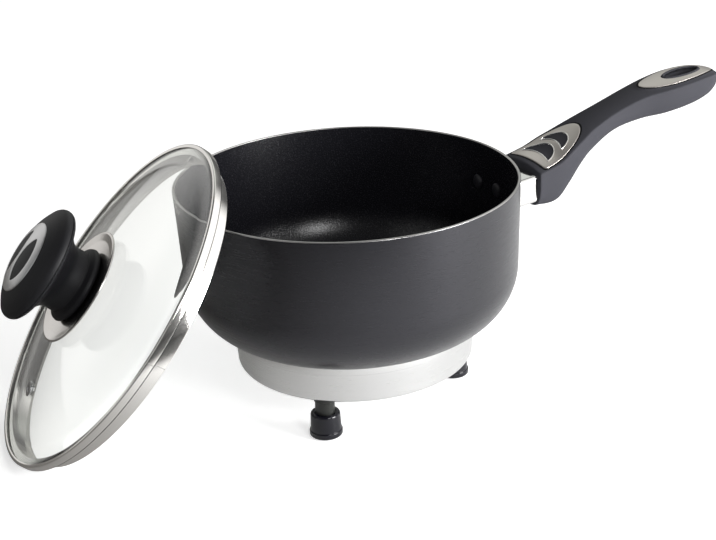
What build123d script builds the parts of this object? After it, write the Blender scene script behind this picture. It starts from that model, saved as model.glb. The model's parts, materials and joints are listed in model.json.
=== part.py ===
from build123d import *
from math import asin, cos, degrees, hypot, pi, radians, sin, sqrt, tan
import os

# Electric saucepan, 20 cm, with a loose glass lid leaning on its side.
# Millimetres, +Z up, floor at z = 0, +X along the handle.
# Everything is built about the pan's own axis and moved once, at the end,
# so that the origin is the centre of the footprint on the floor.

# Pan: pressed aluminium, straight wall, round lower corner
pan_rim_radius = 101.8
pan_rim_height = 137.0
pan_wall = 1.8
pan_base = 3.8
pan_flat_height = 47.1
pan_corner_radius = 37.5
pan_wall_draft = 1.66
pan_rim_round = 0.7

# Heater cover: spun aluminium cup under the pan
cover_radius = 73.7
cover_draft = 1.9
cover_foot_radius = cover_radius - cover_draft
cover_wall = 1.0
cover_floor_height = 25.4
cover_corner_radius = 3.0
cover_top_gap = 0.3
cover_dish_radius = 17.0
cover_dish_depth = 3.6

# Feet: steel pegs in hard plastic caps, three at equal angles
foot_count = 3
foot_inset = 11.7
foot_circle_radius = cover_radius - foot_inset
foot_first_angle = -16.5
peg_radius = 5.8
cap_height = 14.8
cap_top_radius = 8.7
cap_low_radius = 9.2
cap_bead_radius = 9.8
cap_bead_height = 3.6
cap_floor = 4.0
cap_fit = 0.05
foot_screw_radius = 2.0
foot_screw_length = 12.0
foot_screw_head_radius = 3.7
foot_screw_head_height = 2.2

# Heater: spreader plate, tubular element, clamp ring, studs and nuts
spreader_radius = 52.0
spreader_thickness = 4.0
ring_edge_gap = 1.0
ring_outer_radius = spreader_radius - ring_edge_gap
stud_count = 3
stud_first_angle = 60.0
stud_radius = 2.0
stud_edge_distance = 5.0
stud_circle_radius = ring_outer_radius - stud_edge_distance
stud_element_gap = 2.7
element_radius = 3.3
element_loop_radius = stud_circle_radius - stud_radius - stud_element_gap - element_radius
element_gap_angle = 60.0
element_end_spacing = 8.6
element_end_length = 4.0
element_seat = 0.1
seal_length = 3.0
terminal_radius = 1.2
terminal_length = 3.0
ring_lap = 5.0
ring_inner_radius = element_loop_radius - ring_lap
ring_thickness = 1.2
ring_notch_width = 18.0
nut_flats = 7.0
nut_height = 3.2
stud_proud = 1.0
bore_clearance = 0.15
cover_stud_radius = 2.5
cover_nut_flats = 8.0
cover_nut_height = 3.2
felt_screw_gap = 4.3
felt_radius = foot_circle_radius - foot_screw_head_radius - felt_screw_gap
felt_thickness = 2.5

# Heat limiter and fuse under the spreader plate
limiter_radius = 8.0
limiter_height = 6.0
limiter_x = -element_loop_radius / 2
limiter_tab_width = 4.8
limiter_tab_thickness = 0.8
limiter_tab_length = 5.0
strap_width = 6.0
strap_thickness = 0.8
strap_reach = 13.5
strap_edge = 1.0
strap_screw_radius = 1.2
strap_screw_head_radius = 2.0
strap_screw_head_height = 1.6
fuse_radius = 2.0
fuse_gap = 2.5
fuse_length = 8.5
lead_radius = 1.1
lead_run_height = 33.2

# Appliance inlet on the side under the handle
inlet_width = 24.0
inlet_height = 13.6
inlet_centre_height = 38.0
inlet_gap = 1.0
inlet_inner_x = spreader_radius + inlet_gap
inlet_proud = 2.0
inlet_flange_width = 36.0
inlet_flange_height = 17.0
inlet_mouth_width = 18.2
inlet_mouth_height = 8.8
inlet_mouth_depth = 12.0
inlet_fit = 0.2
pin_radius = 1.2
pin_shank_radius = 1.5
pin_spacing = 8.6
pin_recess = 3.0
pin_tail = 3.0
inlet_screw_spacing = 29.0
inlet_screw_radius = 1.4
inlet_screw_head_radius = 2.6
inlet_screw_head_height = 1.5
inlet_screw_length = 8.0

# Handle bracket, rivets and flame guard
bracket_width = 30.0
bracket_thickness = 2.5
bracket_guard_gap = 0.4
tongue_width = 14.0
tongue_thickness = 4.0
tongue_root_drop = 32.5
tongue_root_height = pan_rim_height - tongue_root_drop
tongue_root_depth = 7.6
tongue_slope = 17.0
tongue_length = 66.0
rivet_drop = 25.6
rivet_height = pan_rim_height - rivet_drop
rivet_spacing = 20.8
rivet_radius = 2.5
rivet_head_radius = 4.4
rivet_head_height = 1.6
rivet_back_radius = 3.2
rivet_back_height = 1.2
rivet_fit = 0.05
guard_half_width = 18.4
guard_low_drop = 38.6
guard_low = pan_rim_height - guard_low_drop
guard_high_drop = 20.8
guard_high = pan_rim_height - guard_high_drop
guard_corner = 2.5
guard_wall = 0.8
guard_slope = 4.5
guard_pan_gap = 0.3
guard_in_grip = 4.0

# Grip, measured from the pan's rim: how far out, half width, height of the side
# edge, crown above it, height of the underside, squareness of the lower half
grip_stations = [
    (22.2, 21.6, -17.6, 3.0, -40.8, 4.4),
    (38.2, 21.2, -13.6, 2.8, -41.2, 4.2),
    (48.2, 19.4, -8.8, 2.5, -33.6, 3.8),
    (58.2, 16.8, -4.2, 2.2, -24.2, 3.4),
    (68.2, 14.3, 0.4, 1.9, -16.8, 3.2),
    (88.2, 12.2, 7.4, 1.6, -6.6, 3.0),
    (110.2, 13.0, 13.4, 1.6, -2.8, 3.0),
    (130.2, 16.6, 16.4, 1.8, -2.0, 3.0),
    (148.2, 17.6, 18.6, 1.8, 0.2, 3.0),
    (162.2, 15.9, 19.4, 1.6, 3.4, 3.0),
    (170.6, 12.2, 18.8, 1.2, 6.6, 2.8),
    (175.6, 7.4, 17.4, 0.8, 9.6, 2.6),
    (178.0, 2.6, 15.8, 0.4, 12.2, 2.4),
]
grip_side_points = 12
grip_top_room = 5.0
grip_guard_fit = 0.15
grip_tongue_fit = 0.3
grip_screw_radius = 2.0
grip_screw_head_radius = 3.6
grip_screw_head_height = 2.4
grip_screw_out = 48.2
grip_screw_x = pan_rim_radius + grip_screw_out

# Metal inlays let into the top of the grip
# All measured from the pan's rim, out along the handle
# Window rows: place of the tips, half width, bow of the far edge, bow of the near edge
inlay_sink = 1.3
inlay_proud = 0.3
inlay_fit = 0.1
front_inlay_start = pan_rim_radius + 27.4
front_inlay_length = 38.4
front_inlay_half_width = 19.0
front_inlay_corner = 2.0
window_rows = [(33.4, 13.6, 10.8, 2.0), (45.4, 11.2, 10.4, 2.9)]
window_corner = 1.0
pad_drop = 0.5
end_inlay_start = pan_rim_radius + 116.4
end_inlay_length = 57.0
end_inlay_half_width = 12.9
slot_start = pan_rim_radius + 136.4
slot_length = 26.0
slot_half_width = 5.7
slot_lip = 1.8

# Lid, in its own frame: the bead's underside is height 0, the knob points up
lid_overhang = 3.0
lid_bead_radius = pan_rim_radius + lid_overhang
lid_seat_height = 0.6
lid_sheet = 0.6
lid_skirt_clearance = 1.7
lid_skirt_radius = pan_rim_radius - pan_wall - lid_skirt_clearance
lid_skirt_depth = 8.8
lid_skirt_curl = 2.2
lid_lip_width = 10.2
lid_lip_radius = lid_bead_radius - lid_lip_width
lid_bead_round = 1.4
glass_thickness = 4.0
glass_edge_clearance = 0.3
glass_edge_bevel = 0.9
glass_flange_width = 10.8
glass_flange_radius = lid_bead_radius - glass_flange_width
glass_rise = 16.2
glass_bore_radius = 3.5
vent_radius = 67.4
vent_angle = 270.0
vent_bore_radius = 2.6
vent_tube_radius = 2.5
vent_hole_radius = 1.5
vent_flange_radius = 4.6
vent_flange_thickness = 0.8

# Knob and its seat, heights above the glass at its centre
dish_radius = 35.4
dish_hub_radius = 15.0
dish_sheet = 0.9
dish_edge_lift = 1.6
collar_radius = 23.2
collar_height = 7.5
collar_top_radius = 19.6
neck_radius = 19.2
neck_height = 15.0
knob_radius = 34.6
knob_widest_height = 29.4
knob_edge_round = 4.2
knob_top_height = 41.6
knob_inlay_radius = 21.8
knob_window_radius = 15.8
knob_window_bow = 22.0
knob_strip_half_width = 1.7
knob_inlay_sink = 1.2
knob_inlay_proud = 0.2
knob_screw_radius = 2.5
knob_screw_length = 26.0
knob_screw_head_radius = 5.0
knob_screw_head_height = 2.4
gasket_radius = 8.0
gasket_thickness = 1.5
washer_radius = 9.5
washer_thickness = 1.2

# How the lid leans: its slope from the floor, its side of the pan, its gap
lid_lean = 50.3
lid_side_angle = 168.1
lid_rest_gap = 0.35


def spun(points):
    """Solid of revolution about Z from a closed outline in radius and height."""
    outline = Polyline(*[(r, 0, z) for r, z in points], close=True)
    return revolve(make_face(outline), Axis.Z)


def spun_face(lines):
    """Solid of revolution from connected edges that close an outline."""
    return revolve(make_face(lines), Axis.Z)


def rod(radius, start, end):
    """Round rod between two points."""
    a = Vector(*start)
    b = Vector(*end)
    plane = Plane(origin=a, z_dir=(b - a).normalized())
    return extrude(plane * Circle(radius), (b - a).length)


def hexagon(flats, height, x, y, z):
    """Plain hexagon nut blank standing on z."""
    outline = RegularPolygon(flats / 2, 6, major_radius=False)
    return Pos(x, y, z) * extrude(outline, height)


def polar(radius, angle):
    return radius * cos(radians(angle)), radius * sin(radians(angle))


# Places worked out from the sizes above
pan_corner_z = pan_flat_height + pan_corner_radius
pan_side_radius = pan_rim_radius - pan_wall_draft
pan_flat_radius = pan_side_radius - pan_corner_radius
pan_floor_z = pan_flat_height + pan_base
spreader_z = pan_flat_height - spreader_thickness
element_z = spreader_z - element_radius - element_seat
ring_z = element_z - element_radius - element_seat - ring_thickness
cover_floor_z = cover_floor_height + cover_wall
foot_angles = [foot_first_angle + 360 / foot_count * i for i in range(foot_count)]
stud_angles = [stud_first_angle + 360 / stud_count * i for i in range(stud_count)]
half_end = element_end_spacing / 2
inlet_flange_x = cover_radius + inlet_proud


def pan_radius_at(z):
    """Outer radius of the pan at a height on its wall or round corner."""
    if z >= pan_corner_z:
        share = (z - pan_corner_z) / (pan_rim_height - pan_corner_z)
        return pan_side_radius + pan_wall_draft * share
    return pan_flat_radius + sqrt(pan_corner_radius ** 2 - (pan_corner_z - z) ** 2)


def pan_underside_at(radius):
    """Height of the pan's outside under its round corner."""
    return pan_corner_z - sqrt(pan_corner_radius ** 2 - (radius - pan_flat_radius) ** 2)


def pan_outside():
    """The pan as a filled solid, for cutting what meets it."""
    corner = pan_corner_radius * sin(radians(45))
    edges = [
        Line((0, 0, pan_flat_height), (pan_flat_radius, 0, pan_flat_height)),
        ThreePointArc(
            (pan_flat_radius, 0, pan_flat_height),
            (pan_flat_radius + corner, 0, pan_corner_z - corner),
            (pan_side_radius, 0, pan_corner_z),
        ),
        Line((pan_side_radius, 0, pan_corner_z), (pan_rim_radius, 0, pan_rim_height)),
        Line((pan_rim_radius, 0, pan_rim_height), (0, 0, pan_rim_height)),
        Line((0, 0, pan_rim_height), (0, 0, pan_flat_height)),
    ]
    return spun_face(edges)


def pan_inside():
    """The space that the pan holds, open through its rim."""
    inner_side = pan_side_radius - pan_wall
    inner_rim = pan_rim_radius - pan_wall
    inner_corner = pan_corner_radius - pan_base
    inner_flat = inner_side - inner_corner
    corner = inner_corner * sin(radians(45))
    edges = [
        Line((0, 0, pan_floor_z), (inner_flat, 0, pan_floor_z)),
        ThreePointArc(
            (inner_flat, 0, pan_floor_z),
            (inner_flat + corner, 0, pan_corner_z - corner),
            (inner_side, 0, pan_corner_z),
        ),
        Line((inner_side, 0, pan_corner_z), (inner_rim, 0, pan_rim_height)),
        Line((inner_rim, 0, pan_rim_height), (0, 0, pan_rim_height)),
        Line((0, 0, pan_rim_height), (0, 0, pan_floor_z)),
    ]
    return spun_face(edges)


def make_pan_body():
    shell = pan_outside() - pan_inside()
    rim_edges = shell.edges().group_by(Axis.Z)[-1]
    shell = fillet(rim_edges, pan_rim_round)
    for y in rivet_places():
        shell -= rod(rivet_radius + rivet_fit, (pan_rim_radius - 15, y, rivet_height),
                     (pan_rim_radius + 5, y, rivet_height))
    return shell


def bracket_back_radius():
    """Radius of the flange's outer face about the pan's axis."""
    return pan_rim_radius + bracket_thickness


def rivet_places():
    return [side * rivet_spacing / 2 for side in (-1, 1)]


def make_handle_rivets():
    """Two solid rivets: round head inside the pan, flat head on the bracket."""
    wall = pan_outside() - pan_inside()
    rivets = []
    for y in rivet_places():
        inner = sqrt((pan_radius_at(rivet_height) - pan_wall) ** 2 - y ** 2)
        head_x = inner - rivet_head_height
        back_x = sqrt(bracket_back_radius() ** 2 - (abs(y) - rivet_back_radius) ** 2)
        shank = rod(rivet_radius, (inner - 0.5, y, rivet_height), (back_x, y, rivet_height))
        back = rod(rivet_back_radius, (back_x, y, rivet_height), (back_x + rivet_back_height, y, rivet_height))
        ball = rivet_head_radius ** 2 / (2 * rivet_head_height) + rivet_head_height / 2
        dome = Pos(head_x + ball, y, rivet_height) * Sphere(ball)
        dome &= rod(rivet_head_radius, (head_x - 1, y, rivet_height), (inner + 0.6, y, rivet_height))
        dome = (dome - wall).solids().sort_by(Axis.X)[0]
        rivets.append(shank + back + dome)
    return Compound(rivets)


def make_handle_bracket():
    """Steel bracket: a flange curved to the pan and a tongue into the grip."""
    low = guard_low + guard_wall + bracket_guard_gap
    high = guard_high - guard_wall - bracket_guard_gap
    block = Pos(pan_rim_radius, 0, (low + high) / 2) * Box(2 * guard_half_width, bracket_width, high - low)
    flange = block & Cylinder(bracket_back_radius(), 2 * high)
    bar = Pos(tongue_root_x(), 0, tongue_root_height) * Rot(0, -tongue_slope, 0) * tongue_bar(0)
    foot = Pos(pan_rim_radius, 0, tongue_root_height) * Box(
        2 * bracket_thickness + 4, tongue_width, tongue_root_depth)
    bracket = flange + bar + foot - pan_outside()
    for y in rivet_places():
        bracket -= rod(rivet_radius + rivet_fit, (0, y, rivet_height),
                       (pan_rim_radius + 2 * bracket_thickness, y, rivet_height))
    bracket -= rod(grip_screw_radius, (grip_screw_x, 0, 0), (grip_screw_x, 0, pan_rim_height))
    return bracket.solids().sort_by(SortBy.VOLUME)[-1]


def tongue_root_x():
    return pan_radius_at(tongue_root_height) + bracket_thickness


def tongue_bar(outset):
    """Straight bar of the bracket, grown by outset."""
    return Pos(-outset, 0, 0) * Box(
        tongue_length + 2 * outset, tongue_width + 2 * outset, tongue_thickness + 2 * outset,
        align=(Align.MIN, Align.CENTER, Align.CENTER))


def guard_span(outset, end_x):
    """Rounded box along the flame guard, grown by outset, rising to end_x."""
    section = RectangleRounded(2 * (guard_half_width + outset), guard_high - guard_low + 2 * outset,
                               guard_corner + outset)
    middle = (guard_high + guard_low) / 2
    ends = []
    for x in (pan_rim_radius - 12, end_x):
        z = middle + (x - pan_rim_radius) * tan(radians(guard_slope))
        ends.append(Plane(origin=(x, 0, z), x_dir=(0, 1, 0), z_dir=(1, 0, 0)) * section)
    return loft(ends)


def guard_end_x():
    return pan_rim_radius + grip_stations[0][0] + guard_in_grip


def make_flame_guard():
    """Polished sleeve between the pan and the grip, shaped to the pan's wall."""
    sleeve = guard_span(0, guard_end_x()) - guard_span(-guard_wall, guard_end_x())
    low = pan_corner_z
    clear = Cone(pan_radius_at(low) + guard_pan_gap, pan_rim_radius + guard_pan_gap, pan_rim_height - low,
                 align=(Align.CENTER, Align.CENTER, Align.MIN))
    sleeve -= Pos(0, 0, low) * clear
    return sleeve.solids().sort_by(SortBy.VOLUME)[-1]


def grip_section(out, half_width, edge, crown, underside, squareness):
    """Section of the grip: a low crown on top, a squared-off half ellipse under it."""
    x = pan_rim_radius + out
    z = pan_rim_height + edge
    depth = edge - underside
    top = ThreePointArc((x, half_width, z), (x, 0, z + crown), (x, -half_width, z))
    points = []
    for i in range(grip_side_points + 1):
        angle = pi * i / grip_side_points
        across = cos(angle)
        down = sin(angle) ** (2 / squareness)
        y = half_width * abs(across) ** (2 / squareness) * (1 if across > 0 else -1)
        points.append((x, y, z - depth * down))
    points[0] = (x, half_width, z)
    points[-1] = (x, -half_width, z)
    return make_face([top, Spline(*points)])


def grip_form():
    return loft([grip_section(*station) for station in grip_stations])


def grip_floor():
    """A height under the whole grip, where upright cuts start."""
    return pan_rim_height + min(station[4] for station in grip_stations) - grip_top_room


def grip_ceiling():
    """A height over the whole grip, where upright cuts end."""
    return pan_rim_height + max(station[2] + station[3] for station in grip_stations) + grip_top_room


def oval_prism(start_x, length, half_width, outset, low, high):
    """Upright oval prism, its long axis along the handle, grown by outset."""
    outline = Ellipse(length / 2 + outset, half_width + outset)
    return Pos(start_x + length / 2, 0, low) * extrude(outline, high - low)


def shield_prism(outset, low, high):
    """Upright prism of the front inlay: straight front, round far end."""
    start = front_inlay_start - outset
    length = front_inlay_length + 2 * outset
    wide = front_inlay_half_width + outset
    ahead = Pos(length / 2, 0) * Rectangle(length, 2 * wide)
    outline = Ellipse(length, wide) & ahead
    body = Pos(start, 0, low) * extrude(outline, high - low)
    corners = body.edges().filter_by(Axis.Z)
    return fillet(corners, front_inlay_corner)


def bowed_disc(tip, half_width, rise, outset):
    """Disc whose edge runs through both tips of a window and bows out by rise."""
    radius = (half_width ** 2 + rise ** 2) / (2 * rise)
    return Pos(pan_rim_radius + tip + rise - radius, 0) * Rot(0, 0, 180) * Circle(radius + outset)


def window_prism(row, outset, low, high):
    """Upright prism of one half-moon window in the front inlay."""
    tip, half_width, far_rise, near_rise = row
    outline = bowed_disc(tip, half_width, far_rise, outset) - bowed_disc(tip, half_width, near_rise, -outset)
    outline = fillet(outline.vertices(), window_corner + outset)
    return Pos(0, 0, low) * extrude(outline, high - low)


def skin(form, prism, proud, sink):
    """The layer of the grip's top surface inside a prism."""
    return (Pos(0, 0, proud) * form & prism) - Pos(0, 0, -sink) * form


def front_inlay_floor():
    """A height inside the grip under the front inlay's lowest corner."""
    return pan_rim_height + (grip_stations[0][2] + grip_stations[0][4]) / 2


def end_inlay_floor():
    """A height inside the grip under the whole end inlay."""
    return pan_rim_height + grip_stations[6][2] - 2 * inlay_sink


def make_grip(form):
    """Moulded grip with its pockets, hanging slot and inlay recesses."""
    floor = grip_floor()
    high = grip_ceiling()
    under = Pos(0, 0, -inlay_sink) * form
    body = form - (shield_prism(inlay_fit, front_inlay_floor(), high) - under)
    ring = oval_prism(end_inlay_start, end_inlay_length, end_inlay_half_width, inlay_fit, end_inlay_floor(), high)
    ring -= oval_prism(slot_start, slot_length, slot_half_width, slot_lip, floor, high)
    body -= ring - under
    body -= oval_prism(slot_start, slot_length, slot_half_width, 0, floor, high)
    body -= guard_span(grip_guard_fit, guard_end_x() + grip_guard_fit)
    pocket = tongue_bar(grip_tongue_fit)
    body -= Pos(tongue_root_x(), 0, tongue_root_height) * Rot(0, -tongue_slope, 0) * pocket
    body -= rod(grip_screw_radius + bore_clearance, (grip_screw_x, 0, floor), (grip_screw_x, 0, grip_screw_top()))
    body -= rod(grip_screw_head_radius + bore_clearance, (grip_screw_x, 0, floor),
                (grip_screw_x, 0, grip_screw_seat()))
    return body.solids().sort_by(SortBy.VOLUME)[-1]


def tongue_z_at(x):
    return tongue_root_height + (x - tongue_root_x()) * tan(radians(tongue_slope))


def grip_screw_seat():
    return tongue_z_at(grip_screw_x) - tongue_thickness - 4


def grip_screw_top():
    return tongue_z_at(grip_screw_x) + tongue_thickness


def make_grip_screw():
    """Screw from under the grip into the bracket's tongue."""
    seat = grip_screw_seat()
    head = rod(grip_screw_head_radius, (grip_screw_x, 0, seat - grip_screw_head_height), (grip_screw_x, 0, seat))
    shank = rod(grip_screw_radius - 0.05, (grip_screw_x, 0, seat), (grip_screw_x, 0, grip_screw_top() - 0.4))
    return head + shank


def make_front_inlay(form):
    low = front_inlay_floor()
    high = grip_ceiling()
    plate = skin(form, shield_prism(0, low, high), inlay_proud, inlay_sink)
    for row in window_rows:
        plate -= window_prism(row, 0, low, high)
    return plate.solids().sort_by(SortBy.VOLUME)[-1]


def make_front_pads(form):
    """Soft pads that fill the windows of the front inlay."""
    low = front_inlay_floor()
    high = grip_ceiling()
    pads = []
    for row in window_rows:
        pad = skin(form, window_prism(row, -inlay_fit, low, high), inlay_proud - pad_drop, inlay_sink)
        pads.append(pad.solids().sort_by(SortBy.VOLUME)[-1])
    return Compound(pads)


def make_end_inlay(form):
    low = end_inlay_floor()
    high = grip_ceiling()
    prism = oval_prism(end_inlay_start, end_inlay_length, end_inlay_half_width, 0, low, high)
    prism -= oval_prism(slot_start, slot_length, slot_half_width, slot_lip + inlay_fit, low, high)
    return skin(form, prism, inlay_proud, inlay_sink).solids().sort_by(SortBy.VOLUME)[-1]


def make_heater_cover():
    """Spun cup with a round lower edge and a dished centre for its nut."""
    top_z = pan_underside_at(cover_radius) - cover_top_gap
    low = cover_floor_height
    turn = cover_corner_radius
    foot = cover_foot_radius
    diag = turn * (1 - sin(radians(45)))
    inner_turn = turn - cover_wall
    inner_diag = inner_turn * (1 - sin(radians(45)))
    dish = cover_dish_radius
    up = cover_dish_depth
    w = cover_wall
    edges = [
        Line((0, 0, low + up), (dish - up, 0, low + up)),
        Line((dish - up, 0, low + up), (dish, 0, low)),
        Line((dish, 0, low), (foot - turn, 0, low)),
        ThreePointArc((foot - turn, 0, low), (foot - diag, 0, low + diag), (foot, 0, low + turn)),
        Line((foot, 0, low + turn), (cover_radius, 0, top_z)),
        Line((cover_radius, 0, top_z), (cover_radius - w, 0, top_z)),
        Line((cover_radius - w, 0, top_z), (foot - w, 0, low + turn)),
        ThreePointArc((foot - w, 0, low + turn), (foot - w - inner_diag, 0, low + w + inner_diag),
                      (foot - turn, 0, low + w)),
        Line((foot - turn, 0, low + w), (dish + 0.4, 0, low + w)),
        Line((dish + 0.4, 0, low + w), (dish - up + 0.4, 0, low + up + w)),
        Line((dish - up + 0.4, 0, low + up + w), (0, 0, low + up + w)),
        Line((0, 0, low + up + w), (0, 0, low + up)),
    ]
    cup = spun_face(edges)
    for angle in foot_angles:
        x, y = polar(foot_circle_radius, angle)
        cup -= rod(foot_screw_radius + bore_clearance, (x, y, 0), (x, y, cover_floor_z + 2))
    cup -= rod(cover_stud_radius + bore_clearance, (0, 0, 0), (0, 0, spreader_z))
    window = Pos(inlet_inner_x, 0, inlet_centre_height) * Box(
        inlet_flange_x - inlet_inner_x, inlet_width + 2 * inlet_fit, inlet_height + 2 * inlet_fit,
        align=(Align.MIN, Align.CENTER, Align.CENTER))
    cup -= window
    for side in (-1, 1):
        y = side * inlet_screw_spacing / 2
        cup -= rod(inlet_screw_radius + bore_clearance, (inlet_inner_x, y, inlet_centre_height),
                   (inlet_flange_x, y, inlet_centre_height))
    return cup


def make_foot_pegs():
    pegs = []
    for angle in foot_angles:
        x, y = polar(foot_circle_radius, angle)
        peg = rod(peg_radius, (x, y, cap_floor), (x, y, cover_floor_height))
        bore = rod(foot_screw_radius + 0.05, (x, y, cover_floor_z - foot_screw_length - 1), (x, y, cover_floor_z))
        pegs.append(peg - bore)
    return Compound(pegs)


def make_foot_caps():
    caps = []
    for angle in foot_angles:
        x, y = polar(foot_circle_radius, angle)
        bead = cap_bead_height
        inner = peg_radius + cap_fit
        cup = spun([
            (0, 0), (cap_bead_radius - 1.2, 0), (cap_bead_radius, 1.2), (cap_bead_radius, bead - 0.6),
            (cap_low_radius, bead), (cap_top_radius, cap_height - 1.4), (cap_top_radius - 1.4, cap_height),
            (inner, cap_height), (inner, cap_floor), (0, cap_floor),
        ])
        caps.append(Pos(x, y, 0) * cup)
    return Compound(caps)


def make_foot_screws():
    screws = []
    for angle in foot_angles:
        x, y = polar(foot_circle_radius, angle)
        seat = cover_floor_z
        head = rod(foot_screw_head_radius, (x, y, seat), (x, y, seat + foot_screw_head_height))
        shank = rod(foot_screw_radius, (x, y, seat - foot_screw_length), (x, y, seat))
        screws.append(head + shank)
    return Compound(screws)


def make_spreader_plate():
    return Pos(0, 0, spreader_z) * Cylinder(
        spreader_radius, spreader_thickness, align=(Align.CENTER, Align.CENTER, Align.MIN))


def element_path():
    """Loop of the element with both ends turned in towards the centre."""
    start = element_gap_angle / 2
    px, py = polar(element_loop_radius, start)
    bend = (py - half_end) / (1 + sin(radians(start)))
    cx = px - bend * cos(radians(start))
    cy = py - bend * sin(radians(start))
    end_x = cx - element_end_length
    mid_angle = radians((start - 90) / 2)
    edges = [
        Line((end_x, half_end, element_z), (cx, cy - bend, element_z)),
        ThreePointArc((cx, cy - bend, element_z),
                      (cx + bend * cos(mid_angle), cy + bend * sin(mid_angle), element_z),
                      (px, py, element_z)),
        ThreePointArc((px, py, element_z), (-element_loop_radius, 0, element_z), (px, -py, element_z)),
        ThreePointArc((px, -py, element_z),
                      (cx + bend * cos(mid_angle), -cy - bend * sin(mid_angle), element_z),
                      (cx, -cy + bend, element_z)),
        Line((cx, -cy + bend, element_z), (end_x, -half_end, element_z)),
    ]
    return Wire(edges), end_x


def make_heating_element():
    path, end_x = element_path()
    section = Plane(origin=path @ 0, z_dir=path % 0) * Circle(element_radius)
    return sweep(section, path=path)


def make_element_terminals():
    """Ceramic seals and steel rods at the element's two cold ends."""
    path, end_x = element_path()
    parts = []
    for side in (-1, 1):
        y = side * half_end
        seal = rod(element_radius - 0.3, (end_x, y, element_z), (end_x - seal_length, y, element_z))
        pin = rod(terminal_radius, (end_x - seal_length, y, element_z),
                  (end_x - seal_length - terminal_length, y, element_z))
        parts.append(seal + pin)
    return Compound(parts)


def terminal_x():
    return element_path()[1] - seal_length - terminal_length


def make_clamp_ring():
    """Pressed ring that holds the element up, notched for the leads."""
    ring = Pos(0, 0, ring_z) * (
        Cylinder(ring_outer_radius, ring_thickness, align=(Align.CENTER, Align.CENTER, Align.MIN))
        - Cylinder(ring_inner_radius, 4 * ring_thickness))
    ring -= Pos(ring_outer_radius, 0, ring_z) * Box(
        2 * (ring_outer_radius - ring_inner_radius) + stud_edge_distance, ring_notch_width, 4 * ring_thickness)
    for angle in stud_angles:
        x, y = polar(stud_circle_radius, angle)
        ring -= rod(stud_radius + bore_clearance, (x, y, 0), (x, y, spreader_z))
    return ring


def make_clamp_studs():
    studs = []
    for angle in stud_angles:
        x, y = polar(stud_circle_radius, angle)
        studs.append(rod(stud_radius, (x, y, ring_z - nut_height - stud_proud), (x, y, spreader_z)))
    return Compound(studs)


def make_clamp_nuts():
    nuts = []
    for angle in stud_angles:
        x, y = polar(stud_circle_radius, angle)
        nut = hexagon(nut_flats, nut_height, x, y, ring_z - nut_height)
        nuts.append(nut - rod(stud_radius + 0.05, (x, y, 0), (x, y, spreader_z)))
    return Compound(nuts)


def make_cover_stud():
    """Centre stud that draws the cover up to the pan."""
    low = cover_floor_height + cover_dish_depth - cover_nut_height
    return rod(cover_stud_radius, (0, 0, low), (0, 0, spreader_z))


def make_cover_nut():
    low = cover_floor_height + cover_dish_depth - cover_nut_height
    nut = hexagon(cover_nut_flats, cover_nut_height, 0, 0, low)
    return nut - rod(cover_stud_radius + 0.05, (0, 0, 0), (0, 0, spreader_z))


def make_insulation_felt():
    """Felt disc on the cover's floor, round its dished centre."""
    low = cover_floor_z
    disc = spun([
        (cover_dish_radius + 1.0, low), (felt_radius, low),
        (felt_radius, low + felt_thickness), (cover_dish_radius + 1.0, low + felt_thickness),
    ])
    return disc


def make_heat_limiter():
    """Snap-disc limiter against the spreader plate, with two blade tabs."""
    low = spreader_z - limiter_height
    body = rod(limiter_radius, (limiter_x, 0, low), (limiter_x, 0, spreader_z))
    tabs = []
    for side in (-1, 1):
        tab = Pos(limiter_x, side * half_end, low) * Box(
            limiter_tab_thickness, limiter_tab_width, limiter_tab_length,
            align=(Align.CENTER, Align.CENTER, Align.MAX))
        tabs.append(tab)
    return body + tabs[0] + tabs[1]


def strap_x():
    """Middle of the strap, near the limiter's inner edge and clear of its tabs."""
    return limiter_x + limiter_radius + strap_edge - strap_width / 2


def make_limiter_strap():
    """Spring strap under the limiter with its fixing feet and screws."""
    low = spreader_z - limiter_height
    t = strap_thickness
    reach = strap_reach
    x0 = strap_x()
    bar = Pos(x0, 0, low - t) * Box(strap_width, 2 * reach, t, align=(Align.CENTER, Align.CENTER, Align.MIN))
    for side in (-1, 1):
        leg = Pos(x0, side * (reach - t / 2), low - t) * Box(
            strap_width, t, limiter_height + t, align=(Align.CENTER, Align.CENTER, Align.MIN))
        foot = Pos(x0, side * (reach + strap_width / 2 - t), spreader_z - t) * Box(
            strap_width, strap_width, t, align=(Align.CENTER, Align.CENTER, Align.MIN))
        hole_y = side * (reach + strap_width / 2 - t)
        foot -= rod(strap_screw_radius + bore_clearance, (x0, hole_y, low), (x0, hole_y, spreader_z))
        bar += leg + foot
    return bar


def make_strap_screws():
    x0 = strap_x()
    screws = []
    for side in (-1, 1):
        y = side * (strap_reach + strap_width / 2 - strap_thickness)
        seat = spreader_z - strap_thickness
        head = rod(strap_screw_head_radius, (x0, y, seat - strap_screw_head_height), (x0, y, seat))
        screws.append(head + rod(strap_screw_radius, (x0, y, seat), (x0, y, spreader_z)))
    return Compound(screws)


def fuse_start_x():
    return terminal_x() - fuse_gap - fuse_length


def make_thermal_fuse():
    y = -half_end
    return rod(fuse_radius, (fuse_start_x(), y, element_z), (fuse_start_x() + fuse_length, y, element_z))


def bent_lead(points, radii):
    path = FilletPolyline(*points, radius=radii)
    section = Plane(origin=path @ 0, z_dir=path % 0) * Circle(lead_radius)
    return sweep(section, path=path)


def pin_tail_x():
    return inlet_inner_x - pin_tail


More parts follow.
